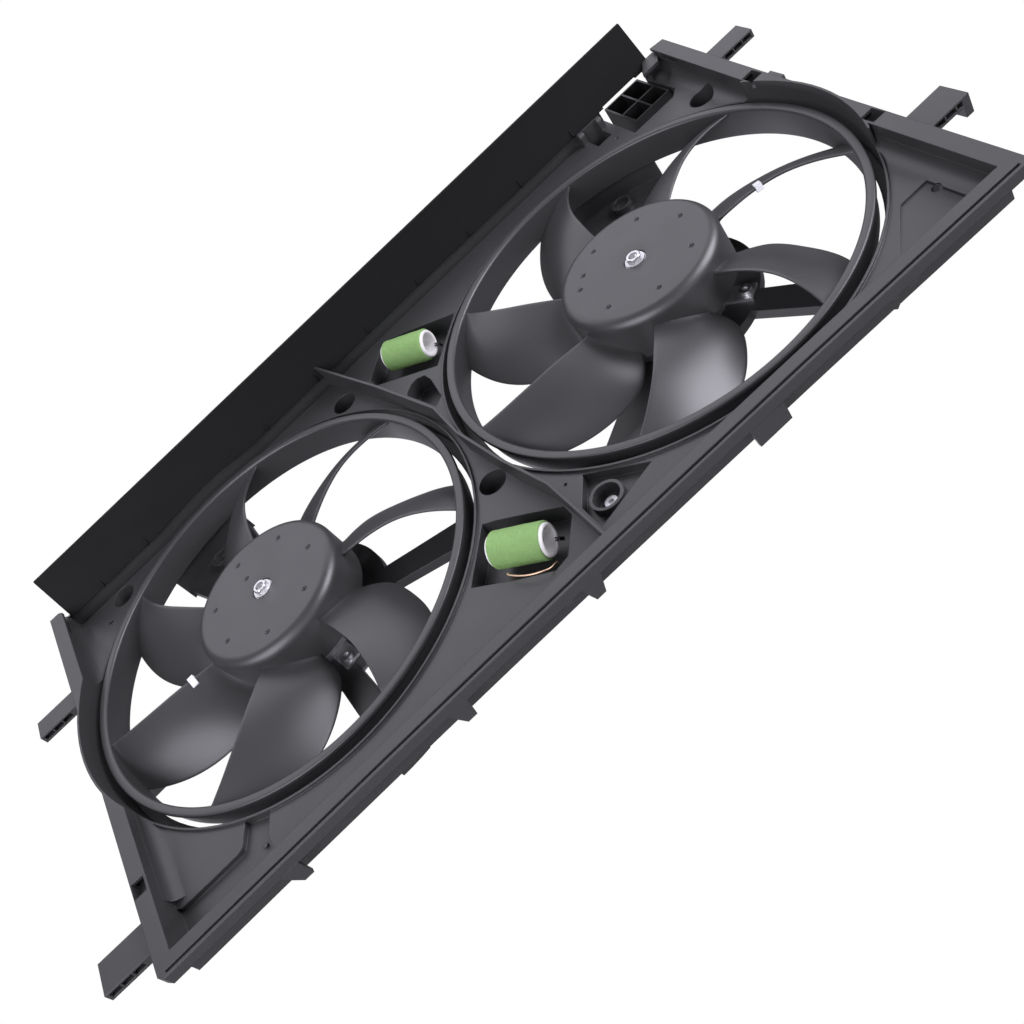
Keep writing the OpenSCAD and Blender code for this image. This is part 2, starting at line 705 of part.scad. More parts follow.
// Trough for the wiring, behind the lip that carries the deflector
module channel_body() {
  xa = channel_x[0] - wall;
  xb = channel_x[1] + wall;
  slab(floor_y, channel_y + wall)
    polygon([[xa, lower_lip_z(xa) - wall], [xb, lower_lip_z(xb) - wall],
      [xb, top_at(xb, top_rise + wall)], [xa, top_at(xa, top_rise + wall)]]);
}

module channel_cut() {
  slab(-1, channel_y) polygon([[channel_x[0] + 7, lower_lip_z(channel_x[0])],
    [channel_x[1], lower_lip_z(channel_x[1])], [channel_x[1], top_at(channel_x[1], top_rise)],
    [channel_x[0], top_at(channel_x[0], top_rise)]]);
}

// Frame along the lip at the top of the tray, shared by the top wall and the deflector
module on_lip() {
  translate([0, lip_y, root_z]) rotate([0, -top_tilt, 0]) children();
}

// A [depth, height] profile drawn out from x0 to x1
module along_x(x0, x1) {
  translate([x0, 0, 0]) rotate([90, 0, 90]) linear_extrude(x1 - x0) children();
}

module lip_seat() {
  back = channel_y + wall - lip_y;
  on_lip() along_x(deflector_x[0], deflector_x[1]) polygon([
    [(deflector_h - top_rise) / deflector_slope, top_rise],
    [(deflector_h - top_rise - wall) / deflector_slope, top_rise + wall],
    [back, top_rise + wall], [back, top_rise]]);
}

module deflector_room() {
  on_lip() along_x(deflector_x[0], deflector_x[1]) polygon(deflector_profile);
}

module air_deflector() {
  color("#1d1d20") on_lip() {
    difference() {
      along_x(deflector_x[0], deflector_x[1]) polygon(deflector_profile);
      translate([0, 0, -1]) linear_extrude(5) polygon(lip_bulge);
      translate([notch_x[0], -1.6, -1]) cube([notch_x[1] - notch_x[0], 3, 6]);
    }
    for (x = gusset_x) translate([x, 0, 0]) along_x(0, 1.4)
      polygon([[0, 0.4], [-8, 0.4 + 8 * deflector_slope], [-1.5, -1.6], [0, -1.6]]);
  }
}

// Tongues that slide into the radiator's side tanks: [tip x, low z, high z]
module tongue(t) {
  side = t[0] < 0 ? left : right;
  root_x = edge_x(side, t[1]) - side * 5;
  wide = abs(t[0] - root_x);
  difference() {
    translate([min(t[0], root_x), tongue_y, t[1]]) cube([wide, tongue_t, t[2] - t[1]]);
    for (i = [0:2])
      translate([t[0] - side * (1.6 + (i + 0.5) * (hollow_w + 1.2)) - hollow_w / 2, tongue_y + 1.6, t[1] - 1])
        cube([hollow_w, tongue_t - 3.2, tongue_pocket + 1]);
  }
}

module tongues() {
  for (t = tongue_tips) tongue(t);
  hook = tongue_tips[3];
  translate([hook[0] - 6, tongue_y, hook[1]]) cube([6, tongue_t + 8, 9]);
  for (t = tongue_tips) {
    side = t[0] < 0 ? left : right;
    x = edge_x(side, t[1]) - side * 5;
    translate([x - 4, 1, t[1]]) cube([8, tongue_y + tongue_t - 1, t[2] - t[1]]);
  }
}

// Lugs behind the side wall at the bottom: [x at the wall, x at the tip, reach]
module lug(points) {
  x = points[0][0];
  translate([0, 0, bottom_at(x) - bead_gap - bead_t]) linear_extrude(bead_t + 0.6)
    polygon([for (p = points) [p[0], bead_depth - 1 + p[1]]]);
}

module lugs() {
  for (l = lug_plans) lug(l);
}

module notches() {
  for (n = flange_notches) translate([n[0], -1, n[1]]) cube([10, 7, 12.8]);
}

module nub() {
  translate([344, 1, 24]) cube([6.5, 8, 16]);
}

// Cut-out for the connector, with a bridge behind it that holds the housing
module connector_bridge() {
  translate([cutout[0] - bridge_w, floor_y, 150]) cube([bridge_w, box_back_y + wall - floor_y, 24]);
  translate([cutout[1], floor_y, 150]) cube([bridge_w, box_back_y + wall - floor_y, 24]);
  translate([cutout[0] - bridge_w, box_back_y, 150]) cube([cutout[1] - cutout[0] + 2 * bridge_w, wall, 24]);
}

module connector_cut() {
  slab(lip_y + 0.6, box_back_y) polygon([[cutout[0], cutout_z], [cutout[1] - 8, cutout_z], [cutout[1], cutout_z + 8],
    [cutout[1], 230], [cutout[0], 230]]);
}

module connector_housing() {
  color("#18181a") difference() {
    translate([box_x[0], box_y, box_z[0]]) cube([box_x[1] - box_x[0], box_back_y - box_y, box_z[1] - box_z[0]]);
    for (cell = [[0, 0], [1, 0], [0, 1], [1, 1]])
      translate([box_x[0] + box_t + cell[0] * (cell_w + box_t), box_y - 1, box_z[0] + box_t + cell[1] * (cell_h[0] + box_t)])
        cube([cell_w, box_deep + 1, cell_h[cell[1]]]);
  }
}

module ledge() {
  translate([246.5, 13, 183.5]) rotate([0, 90, 0]) cylinder(r = 4, h = 24);
  translate([246.5, 13, 179.5]) cube([24, floor_y - 12, 8]);
  translate([319, 14, 180]) cube([8, floor_y - 13, 4]);
  slab(4, 7.2) polygon([[329, 189], [342, 189], [342, 184], [334, 172], [317, 172]]);
}

module motor_arms(side) {
  arms = side < 0 ? left_arms : right_arms;
  at_fan(side) difference() {
    union() {
      slab(mount_y, mount_back_y) {
        circle(r = mount_ring_r);
        for (arm = arms) rotate(arm[0]) polygon([[mount_inner_r, -arm[1] / 2], [well_r, -arm[2] / 2],
          [well_r, arm[2] / 2], [mount_inner_r, arm[1] / 2]]);
      }
      intersection() {
        tube(well_r + well_wall, throat_r, well_back_y - well_wall, mount_back_y);
        slab(well_back_y - well_wall, mount_back_y) for (arm = arms) rotate(arm[0])
          translate([throat_r - 20, -arm[2] / 2]) square([30, arm[2]]);
      }
      rotate([0, -arms[0][0], 0]) translate([well_r - 24, 0, 0]) disc(web_boss_r, mount_y - 6, mount_y + 1);
    }
    disc(mount_inner_r, mount_y - 1, mount_back_y + 1);
    rotate([0, -arms[0][0], 0]) translate([well_r - 24, 0, 0]) disc(web_boss_r - 2.4, mount_y - 7, mount_y - 1);
    for (a = screw_angles(side)) rotate([0, -a, 0]) translate([screw_circle_r, 0, 0])
      disc(screw_r + 0.02, mount_y - 1, mount_y + screw_len);
    for (arm = arms) slab(mount_y + wall, mount_back_y + 1) rotate(arm[0])
      polygon([[mount_ring_r + 5, wall - arm[1] / 2], [well_r - 10, 1.6 * wall - arm[2] / 2],
        [well_r - 10, arm[2] / 2 - 1.6 * wall], [mount_ring_r + 5, arm[1] / 2 - wall]]);
  }
}

module shroud() {
  color(plastic_light) difference() {
    union() {
      flanges();
      skirt();
      tray();
      end_fillets();
      wells();
      for (p = pockets) pocket_body(p, pocket_back_y);
      pocket_body(corner_pocket, corner_back_y);
      pocket_body(window_plan, pocket_back_y);
      pocket_body(small_pocket, pocket_back_y);
      for (c = cups) cup_body(c, cup_r, floor_y + cup_depth);
      cup_body(bolt_at, bolt_cup_r, bolt_y);
      channel_body();
      lip_seat();
      tongues();
      lugs();
      nub();
      skirt_fills();
      ledge();
      connector_bridge();
      translate([floor_pin[0], 0, floor_pin[1]]) disc(pin_r, deep_y - 1.5, deep_y + 1, $fn = 24);
    }
    well_holes();
    bead_slot();
    notches();
    for (p = pockets) pocket_cut(p, pocket_back_y);
    difference() {
      pocket_cut(corner_pocket, corner_back_y);
      cup_body(bolt_at, bolt_cup_r, bolt_y);
    }
    pocket_cut(window_plan, pocket_back_y);
    pocket_cut(small_pocket, pocket_back_y);
    for (c = cups) cup_cut(c, cup_r, floor_y + cup_depth);
    cup_cut(bolt_at, bolt_cup_r, bolt_y);
    translate([bolt_at[0], 0, bolt_at[1]]) disc(bolt_r + 0.02, bolt_y - 1, bolt_y + 10);
    translate([screw_hole_at[0], 0, screw_hole_at[1]]) disc(screw_hole_r, 0, 50);
    translate([slot_at[0], floor_y, slot_at[1]]) cube([4.6, floor_step + 1.4, 9]);
    for (d = floor_dots) translate([d[0], 0, d[1]]) disc(dot_r, floor_y - 1, floor_y + 1.2, $fn = 24);
    translate([drain_slot[0], floor_y - 1, drain_slot[1]]) cube([drain_slot[2], floor_step + wall + 2, drain_slot[3]]);
    channel_cut();
    connector_cut();
    deflector_room();
  }
  color(plastic_light) difference() {
    union() {
      rib_wall();
      motor_arms(left);
      motor_arms(right);
    }
    well_front_holes();
    deflector_room();
  }
}

module well_front_holes() {
  for (side = [left, right]) at_fan(side) disc(well_r, -1, well_back_y - well_wall);
}

module fixing_bolt() {
  color(steel) translate([bolt_at[0], 0, bolt_at[1]]) difference() {
    union() {
      disc(bolt_head_r, bolt_y - 4, bolt_y);
      disc(bolt_r, bolt_y - eps, bolt_y + wall + 6);
    }
    translate([0, bolt_y - 5, 0]) rotate([-90, 0, 0]) cylinder(r = 2.2, h = 2.8, $fn = 6);
  }
}

// Resistors, drawn about an axis along x and then turned into place
module at_resistor(p) {
  translate([p[0], resistor_y, p[1]]) rotate([0, resistor_turn, 0]) children();
}

module barrel(r, inner_r, x0, x1) {
  translate([x0, 0, 0]) rotate([0, 90, 0]) difference() {
    cylinder(r = r, h = x1 - x0);
    translate([0, 0, -1]) cylinder(r = inner_r, h = x1 - x0 + 2);
  }
}

module resistor_core(p) {
  color("white") at_resistor(p) barrel(core_r, core_hole_r, -coat_len / 2 - core_end, coat_len / 2 + core_end);
}

module resistor_coating(p) {
  color("#6fa463") at_resistor(p) rotate([0, 90, 0]) rotate_extrude() polygon([[core_r + 0.02, -coat_len / 2],
    [coat_r - 1, -coat_len / 2], [coat_r, 1 - coat_len / 2], [coat_r, coat_len / 2 - 1],
    [coat_r - 1, coat_len / 2], [core_r + 0.02, coat_len / 2]]);
}

clip_t = 1.2;
clip_x = coat_len / 2 + core_end + 0.6;
module resistor_clip(p) {
  color(steel) at_resistor(p) {
    translate([-clip_x, -clip_t / 2, 0.1 - core_hole_r]) cube([2 * clip_x, clip_t, 2 * core_hole_r - 0.2]);
    for (s = [-1, 1]) translate([s * clip_x - clip_t / 2, -clip_t / 2, -4])
      cube([clip_t, pocket_back_y - resistor_y + clip_t / 2, 8]);
  }
}

module resistor_terminal(p) {
  color("#1b1b1d") at_resistor(p) difference() {
    translate([clip_x + clip_t / 2, -3.5, -5]) cube([3.4, 7, 10]);
    for (z = [-3.4, 0.8]) translate([clip_x + clip_t / 2 + 1.2, -2.2, z]) cube([3.4, 4.4, 2.6]);
  }
}

// Copper wire of the thermal link, with both ends down on the pocket's floor
module thermal_link() {
  color("#b87333") for (i = [0:len(link_path) - 2]) {
    a = link_path[i];
    b = link_path[i + 1];
    d = b - a;
    translate(a) rotate([0, acos(d[2] / norm(d)), atan2(d[1], d[0])]) cylinder(r = link_r, h = norm(d), $fn = 16);
    if (i > 0) translate(a) sphere(r = link_r * 1.1, $fn = 16);
  }
}

shroud();
air_deflector();
connector_housing();
fixing_bolt();
fan_wheel(left, left_turn);  // fan_wheel_left
fan_wheel(right, right_turn);  // fan_wheel_right
hub_insert(left);  // hub_insert_left
hub_insert(right);  // hub_insert_right
motor_shaft(left);  // motor_shaft_left
motor_shaft(right);  // motor_shaft_right
shaft_washer(left);  // shaft_washer_left
shaft_washer(right);  // shaft_washer_right
shaft_nut(left);  // shaft_nut_left
shaft_nut(right);  // shaft_nut_right
balance_clip(left, left_turn - 360 / blade_count, 81);  // balance_clip_left
balance_clip(right, right_turn - 2 * 360 / blade_count, 96);  // balance_clip_right
motor_can(left);  // motor_can_left
motor_can(right);  // motor_can_right
motor_end_cap(left);  // motor_end_cap_left
motor_end_cap(right);  // motor_end_cap_right
motor_magnets(left);  // motor_magnets_left
motor_magnets(right);  // motor_magnets_right
armature_core(left);  // armature_core_left
armature_core(right);  // armature_core_right
armature_winding(left);  // armature_winding_left
armature_winding(right);  // armature_winding_right
commutator(left);  // commutator_left
commutator(right);  // commutator_right
brush_plate(left);  // brush_plate_left
brush_plate(right);  // brush_plate_right
carbon_brushes(left);  // carbon_brushes_left
carbon_brushes(right);  // carbon_brushes_right
bearing(left, front_bearing_y);  // front_bearing_left
bearing(right, front_bearing_y);  // front_bearing_right
bearing(left, rear_bearing_y);  // rear_bearing_left
bearing(right, rear_bearing_y);  // rear_bearing_right
motor_screws(left);  // motor_screws_left
motor_screws(right);  // motor_screws_right
resistor_core(upper_resistor);  // resistor_core_upper
resistor_core(lower_resistor);  // resistor_core_lower
resistor_coating(upper_resistor);  // resistor_coating_upper
resistor_coating(lower_resistor);  // resistor_coating_lower
resistor_clip(upper_resistor);  // resistor_clip_upper
resistor_clip(lower_resistor);  // resistor_clip_lower
resistor_terminal(upper_resistor);  // resistor_terminal_upper
resistor_terminal(lower_resistor);  // resistor_terminal_lower
thermal_link();
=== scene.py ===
"""Looks of a twin radiator cooling fan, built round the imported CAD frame."""

import json
import logging
import math
from dataclasses import dataclass, field
from enum import Enum
from typing import Callable, Optional, Sequence, Union

import bmesh
import bpy
import numpy as np
from mathutils import Matrix, Vector


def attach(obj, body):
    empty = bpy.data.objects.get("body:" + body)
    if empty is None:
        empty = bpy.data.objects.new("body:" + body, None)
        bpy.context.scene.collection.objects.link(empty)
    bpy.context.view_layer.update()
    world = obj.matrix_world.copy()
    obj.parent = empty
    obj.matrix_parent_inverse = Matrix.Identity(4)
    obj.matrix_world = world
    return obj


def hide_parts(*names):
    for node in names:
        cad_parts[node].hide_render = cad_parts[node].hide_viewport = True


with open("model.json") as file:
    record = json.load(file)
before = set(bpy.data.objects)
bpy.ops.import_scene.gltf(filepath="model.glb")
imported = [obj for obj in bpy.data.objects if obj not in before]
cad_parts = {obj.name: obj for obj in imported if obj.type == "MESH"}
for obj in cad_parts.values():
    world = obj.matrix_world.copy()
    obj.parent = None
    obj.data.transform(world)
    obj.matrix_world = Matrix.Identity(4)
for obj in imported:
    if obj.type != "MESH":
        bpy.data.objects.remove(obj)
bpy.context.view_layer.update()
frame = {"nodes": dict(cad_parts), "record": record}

logging.basicConfig(level=logging.INFO, format="%(message)s")
LOG = logging.getLogger("radiator_fan")

MM = 0.001
WELD = 0.000002
Point = tuple[float, float, float]
Flat = tuple[float, float]
Profile = Sequence[Flat]


class Side(Enum):
    """The two fans, seen from the front."""

    LEFT = "left"
    RIGHT = "right"


# Shader maths and nodes


class Sock:
    """A shader output that takes part in Python expressions."""

    def __init__(self, graph: "Graph", out: bpy.types.NodeSocket) -> None:
        """Wraps an output socket of a material's tree."""
        self.graph = graph
        self.out = out

    def _math(self, operation: str, a: "Value", b: "Value") -> "Sock":
        """Adds a Math node for one operation."""
        return self.graph.add("ShaderNodeMath", {"operation": operation}, {0: a, 1: b})

    def __add__(self, other: "Value") -> "Sock":
        """Sum."""
        return self._math("ADD", self, other)

    def __sub__(self, other: "Value") -> "Sock":
        """Difference."""
        return self._math("SUBTRACT", self, other)

    def __rsub__(self, other: "Value") -> "Sock":
        """Difference, reflected."""
        return self._math("SUBTRACT", other, self)

    def __mul__(self, other: "Value") -> "Sock":
        """Product."""
        return self._math("MULTIPLY", self, other)

    def __truediv__(self, other: "Value") -> "Sock":
        """Quotient."""
        return self._math("DIVIDE", self, other)

    def __gt__(self, other: "Value") -> "Sock":
        """One where self is the larger, else zero."""
        return self._math("GREATER_THAN", self, other)

    __radd__ = __add__
    __rmul__ = __mul__


Value = Union[float, Sequence[float], Sock]


class Graph:
    """A material's node tree, with one method that adds any node."""

    def __init__(self, name: str) -> None:
        """Makes an empty material of that name."""
        self.material = bpy.data.materials.new(name)
        self.material.use_nodes = True
        self.tree = self.material.node_tree
        self.tree.nodes.clear()

    def add(self, kind: str, settings: Optional[dict] = None, inputs: Optional[dict] = None,
            output: Union[int, str] = 0) -> Sock:
        """Adds a node.

        Args:
            kind: the node's type.
            settings: its properties by name.
            inputs: values or links by socket name or index.
            output: which output to return.

        Returns:
            The chosen output.
        """
        node = self.tree.nodes.new(kind)
        for key, value in (settings or {}).items():
            setattr(node, key, value)
        for key, value in (inputs or {}).items():
            socket = node.inputs[key]
            if isinstance(value, Sock):
                self.tree.links.new(value.out, socket)
            else:
                socket.default_value = value
        return Sock(self, node.outputs[output])

    def place(self, scale: Point = (1.0, 1.0, 1.0)) -> Sock:
        """Object coordinates, stretched by a scale."""
        coords = self.add("ShaderNodeTexCoord", output="Object")
        return self.add("ShaderNodeMapping", None, {"Vector": coords, "Scale": scale})

    def noise(self, scale: float, detail: float = 3.0, stretch: Point = (1.0, 1.0, 1.0)) -> Sock:
        """A noise value in object space."""
        return self.add("ShaderNodeTexNoise", None,
                        {"Vector": self.place(stretch), "Scale": scale, "Detail": detail}, "Fac")

    def ramp(self, value: Sock, low: float, high: float) -> Sock:
        """Maps 0..1 to low..high."""
        return self.add("ShaderNodeMapRange", None, {"Value": value, "To Min": low, "To Max": high})

    def mix(self, factor: Value, a: Value, b: Value) -> Sock:
        """Mixes two colours."""
        return self.add("ShaderNodeMix", {"data_type": "RGBA"}, {0: factor, 6: a, 7: b}, 2)

    def bump(self, height: Sock, distance: float, base: Optional[Sock] = None) -> Sock:
        """Turns a height into a normal, over another normal if there is one."""
        under = {"Normal": base} if base else {}
        return self.add("ShaderNodeBump", None, {"Height": height, "Distance": distance, **under})

    def eased(self, radius: float) -> Sock:
        """The surface's normal, rounded within a radius of its edges."""
        return self.add("ShaderNodeBevel", {"samples": 4}, {"Radius": radius})

    def finish(self, **inputs: Value) -> bpy.types.Material:
        """Adds the surface shader and the output."""
        named = {key.replace("_", " "): value for key, value in inputs.items()}
        surface = self.add("ShaderNodeBsdfPrincipled", None, named)
        out = self.tree.nodes.new("ShaderNodeOutputMaterial")
        self.tree.links.new(surface.out, out.inputs["Surface"])
        return self.material


def rgb(value: float, warm: float = 0.0) -> tuple[float, float, float, float]:
    """A near-grey colour, a little warmer or cooler than neutral."""
    return (value * (1 + warm), value, value * (1 - warm), 1.0)


@dataclass(frozen=True)
class MouldedPlastic:
    """Glass-filled moulded plastic: soft sheen, fine grain and slight flow marks."""

    name: str
    shade: float
    roughness: float
    grain: float
    flow: float = 0.12
    edge: float = 0.0005
    sheen: float = 0.5
    warmth: float = -0.02

    def make(self) -> bpy.types.Material:
        """Returns the material."""
        g = Graph(self.name)
        flow = g.noise(9.0, 4.0, (1.0, 1.0, 1.6))
        grain = g.noise(2600.0, 2.0)
        blotch = g.noise(34.0, 3.0)
        dark, light = self.shade * (1 - self.flow), self.shade * (1 + self.flow)
        colour = g.mix(flow, rgb(dark, self.warmth), rgb(light, self.warmth))
        rough = g.ramp(blotch * 0.7 + grain * 0.3, self.roughness - 0.07, self.roughness + 0.07)
        normal = g.bump(grain, self.grain, g.eased(self.edge))
        return g.finish(Base_Color=colour, Roughness=rough, Normal=normal, Specular_IOR_Level=self.sheen)


@dataclass(frozen=True)
class Metal:
    """Plated or bare metal with a fine directional or turned grain."""

    name: str
    colour: tuple[float, float, float]
    roughness: float
    stretch: Point = (1.0, 1.0, 1.0)
    grain_scale: float = 900.0
    depth: float = 0.00001

    def make(self) -> bpy.types.Material:
        """Returns the material."""
        g = Graph(self.name)
        grain = g.noise(self.grain_scale, 3.0, self.stretch)
        stain = g.noise(60.0, 4.0)
        dark = tuple(c * 0.78 for c in self.colour)
        colour = g.mix(stain, (*dark, 1.0), (*self.colour, 1.0))
        rough = g.ramp(grain * 0.6 + stain * 0.4, self.roughness - 0.08, self.roughness + 0.1)
        return g.finish(Base_Color=colour, Metallic=1.0, Roughness=rough, Normal=g.bump(grain, self.depth))


@dataclass(frozen=True)
class Coating:
    """Rough cement coating of a wound resistor."""

    name: str
    colour: tuple[float, float, float]

    def make(self) -> bpy.types.Material:
        """Returns the material."""
        g = Graph(self.name)
        lumps = g.noise(330.0, 4.0)
        cells = {"Vector": g.place(), "Scale": 700.0}
        pits = g.add("ShaderNodeTexVoronoi", {"feature": "F1"}, cells, "Distance")
        patch = g.noise(45.0, 3.0)
        light = tuple(min(1.0, c * 1.22) for c in self.colour)
        dark = tuple(c * 0.74 for c in self.colour)
        colour = g.mix(g.ramp(patch * 0.5 + lumps * 0.5, 0.0, 1.0), (*dark, 1.0), (*light, 1.0))
        height = lumps * 0.7 + pits * 0.3
        return g.finish(Base_Color=colour, Roughness=g.ramp(lumps, 0.62, 0.86), Normal=g.bump(height, 0.0007))


@dataclass(frozen=True)
class Ceramic:
    """Fired ceramic with faint speckle."""

    name: str
    shade: float

    def make(self) -> bpy.types.Material:
        """Returns the material."""
        g = Graph(self.name)
        speck = g.noise(800.0, 3.0)
        colour = g.mix(g.ramp(speck, 0.2, 1.0), rgb(self.shade * 0.86, 0.02), rgb(self.shade, 0.01))
        return g.finish(Base_Color=colour, Roughness=g.ramp(speck, 0.42, 0.6), Normal=g.bump(speck, 0.00004))


class Palette:
    """Every finish, made once and looked up by name."""

    def __init__(self) -> None:
        """Makes the materials."""
        finishes = [
            MouldedPlastic("moulded_plastic", 0.03, 0.44, 0.00002, 0.12, 0.0009, 0.75),
            # Painted shade: a darker copy of the moulded plastic with its sheen turned down, so the air
            # deflector's downward face renders near black
            MouldedPlastic("deflector_plastic", 0.005, 0.55, 0.00002, 0.18, 0.0005, 0.12),
            MouldedPlastic("fan_plastic", 0.031, 0.4, 0.00001, 0.06, 0.0009, 0.75),
            MouldedPlastic("black_plastic", 0.006, 0.42, 0.00001),
            MouldedPlastic("white_plastic", 0.78, 0.4, 0.00001, 0.04),
            MouldedPlastic("brown_board", 0.09, 0.6, 0.00002),
            MouldedPlastic("carbon", 0.02, 0.7, 0.00002),
            MouldedPlastic("ferrite", 0.04, 0.6, 0.00002),
            Metal("zinc_steel", (0.78, 0.78, 0.79), 0.46, (1.0, 6.0, 1.0)),
            Metal("bright_steel", (0.8, 0.8, 0.81), 0.4),
            Metal("cap_steel", (0.2, 0.2, 0.21), 0.45),
            Metal("lamination_steel", (0.3, 0.3, 0.31), 0.5, (1.0, 12.0, 1.0)),
            Metal("bearing_bronze", (0.6, 0.42, 0.22), 0.45),
            Metal("copper", (0.95, 0.68, 0.48), 0.4),
            Coating("green_cement", (0.212, 0.372, 0.122)),
            Ceramic("white_ceramic", 0.84),
        ]
        self._made = {finish.name: finish.make() for finish in finishes}

    def __getitem__(self, name: str) -> bpy.types.Material:
        """Returns a finish by name."""
        return self._made[name]


# Mesh making


class Shell:
    """Collects vertices and faces in metres and turns them into an object."""

    def __init__(self) -> None:
        """Starts empty."""
        self.points: list[Point] = []
        self.faces: list[tuple[int, ...]] = []

    def grid(self, rows: Sequence[Sequence[Point]], close_rows: bool = False,
             close_cols: bool = False) -> None:
        """Adds a sheet of quads through rows of points."""
        base, width = len(self.points), len(rows[0])
        for row in rows:
            self.points.extend(row)
        last_row = len(rows) if close_rows else len(rows) - 1
        last_col = width if close_cols else width - 1
        for i in range(last_row):
            for j in range(last_col):
                a = base + i * width + j
                b = base + i * width + (j + 1) % width
                c = base + ((i + 1) % len(rows)) * width + (j + 1) % width
                d = base + ((i + 1) % len(rows)) * width + j
                self.faces.append((a, b, c, d))

    def fan(self, loop: Sequence[Point], flip: bool = False) -> None:
        """Closes a loop of points with one face."""
        base = len(self.points)
        self.points.extend(loop)
        face = tuple(range(base, base + len(loop)))
        self.faces.append(face[::-1] if flip else face)

    def build(self, name: str, material: bpy.types.Material, smooth_angle: float = 32.0) -> bpy.types.Object:
        """Makes the object, merged, with normals outward and smooth shading below an angle."""
        mesh = bpy.data.meshes.new(name)
        mesh.from_pydata([tuple(p) for p in self.points], [], self.faces)
        return dress_mesh(name, mesh, material, smooth_angle)


def dress_mesh(name: str, mesh: bpy.types.Mesh, material: bpy.types.Material,
               smooth_angle: float = 32.0) -> bpy.types.Object:
    """Merges a mesh's doubles, turns its normals out, and links it as an object."""
    work = bmesh.new()
    work.from_mesh(mesh)
    bmesh.ops.remove_doubles(work, verts=work.verts, dist=WELD)
    bmesh.ops.recalc_face_normals(work, faces=work.faces)
    work.to_mesh(mesh)
    work.free()
    mesh.materials.clear()
    mesh.materials.append(material)
    mesh.polygons.foreach_set("use_smooth", [True] * len(mesh.polygons))
    mesh.set_sharp_from_angle(angle=math.radians(smooth_angle))
    thing = bpy.data.objects.new(name, mesh)
    bpy.context.scene.collection.objects.link(thing)
    return thing


def revolve(shell: Shell, profile: Profile, steps: int, centre: Flat = (0.0, 0.0)) -> None:
    """Turns a closed [radius, depth] profile in mm about an axis along the depth."""
    rows = []
    for k in range(steps):
        a = 2 * math.pi * k / steps
        rows.append([((centre[0] + r * math.cos(a)) * MM, y * MM, (centre[1] + r * math.sin(a)) * MM)
                     for r, y in profile])
    shell.grid(rows, close_rows=True, close_cols=True)


def arc(centre: Flat, radius: float, start: float, end: float, steps: int) -> list[Flat]:
    """Points along an arc, with angles in degrees."""
    return [(centre[0] + radius * math.cos(math.radians(start + (end - start) * k / steps)),
             centre[1] + radius * math.sin(math.radians(start + (end - start) * k / steps)))
            for k in range(steps + 1)]


def tube_along(shell: Shell, path: Sequence[Point], radius: float, sides: int = 12) -> None:
    """A round bar along a path in mm, closed at both ends."""
    pts = [Vector(p) for p in path]
    rows = []
    normal = Vector((0.0, 0.0, 1.0))
    for i, p in enumerate(pts):
        ahead = (pts[min(i + 1, len(pts) - 1)] - pts[max(i - 1, 0)]).normalized()
        side = normal - ahead * normal.dot(ahead)
        if side.length < 1e-4:
            side = Vector((1.0, 0.0, 0.0)) - ahead * ahead.x
        side.normalize()
        normal = side
        other = ahead.cross(side)
        around = [2 * math.pi * k / sides for k in range(sides)]
        rows.append([tuple((p + (side * math.cos(a) + other * math.sin(a)) * radius) * MM) for a in around])
    shell.grid(rows, close_cols=True)
    shell.fan(rows[0], True)
    shell.fan(rows[-1])


def smooth_path(points: Sequence[Point], steps: int) -> list[Point]:
    """A curve through points, with steps between each pair."""
    pts = [np.array(p, float) for p in points]
    out = []
    for i in range(len(pts) - 1):
        p0, p1, p2, p3 = pts[max(i - 1, 0)], pts[i], pts[i + 1], pts[min(i + 2, len(pts) - 1)]
        for k in range(steps):
            t = k / steps
            out.append(tuple(0.5 * ((2 * p1) + (p2 - p0) * t + (2 * p0 - 5 * p1 + 4 * p2 - p3) * t * t
                                    + (3 * p1 - p0 - 3 * p2 + p3) * t ** 3)))
    out.append(tuple(pts[-1]))
    return out


def lookup(x: float, xs: Sequence[float], ys: Sequence[float]) -> float:
    """A smooth curve through a short table."""
    n = len(xs)
    i = max(0, min(n - 2, int(np.searchsorted(xs, x) - 1)))
    h = xs[i + 1] - xs[i]
    t = min(1.0, max(0.0, (x - xs[i]) / h))

    def slope(j: int) -> float:
        """The curve's slope at a stop."""
        if j == 0:
            return (ys[1] - ys[0]) / (xs[1] - xs[0])
        if j == n - 1:
            return (ys[-1] - ys[-2]) / (xs[-1] - xs[-2])
        return (ys[j + 1] - ys[j - 1]) / (xs[j + 1] - xs[j - 1])

    m0, m1 = slope(i) * h, slope(i + 1) * h
    return ((2 * t ** 3 - 3 * t ** 2 + 1) * ys[i] + (t ** 3 - 2 * t ** 2 + t) * m0
            + (-2 * t ** 3 + 3 * t ** 2) * ys[i + 1] + (t ** 3 - t ** 2) * m1)


def place_object(thing: bpy.types.Object, matrix: Matrix) -> bpy.types.Object:
    """Bakes a place into the mesh, so that the object stays at the origin."""
    thing.data.transform(matrix)
    return thing


# Geometry Nodes


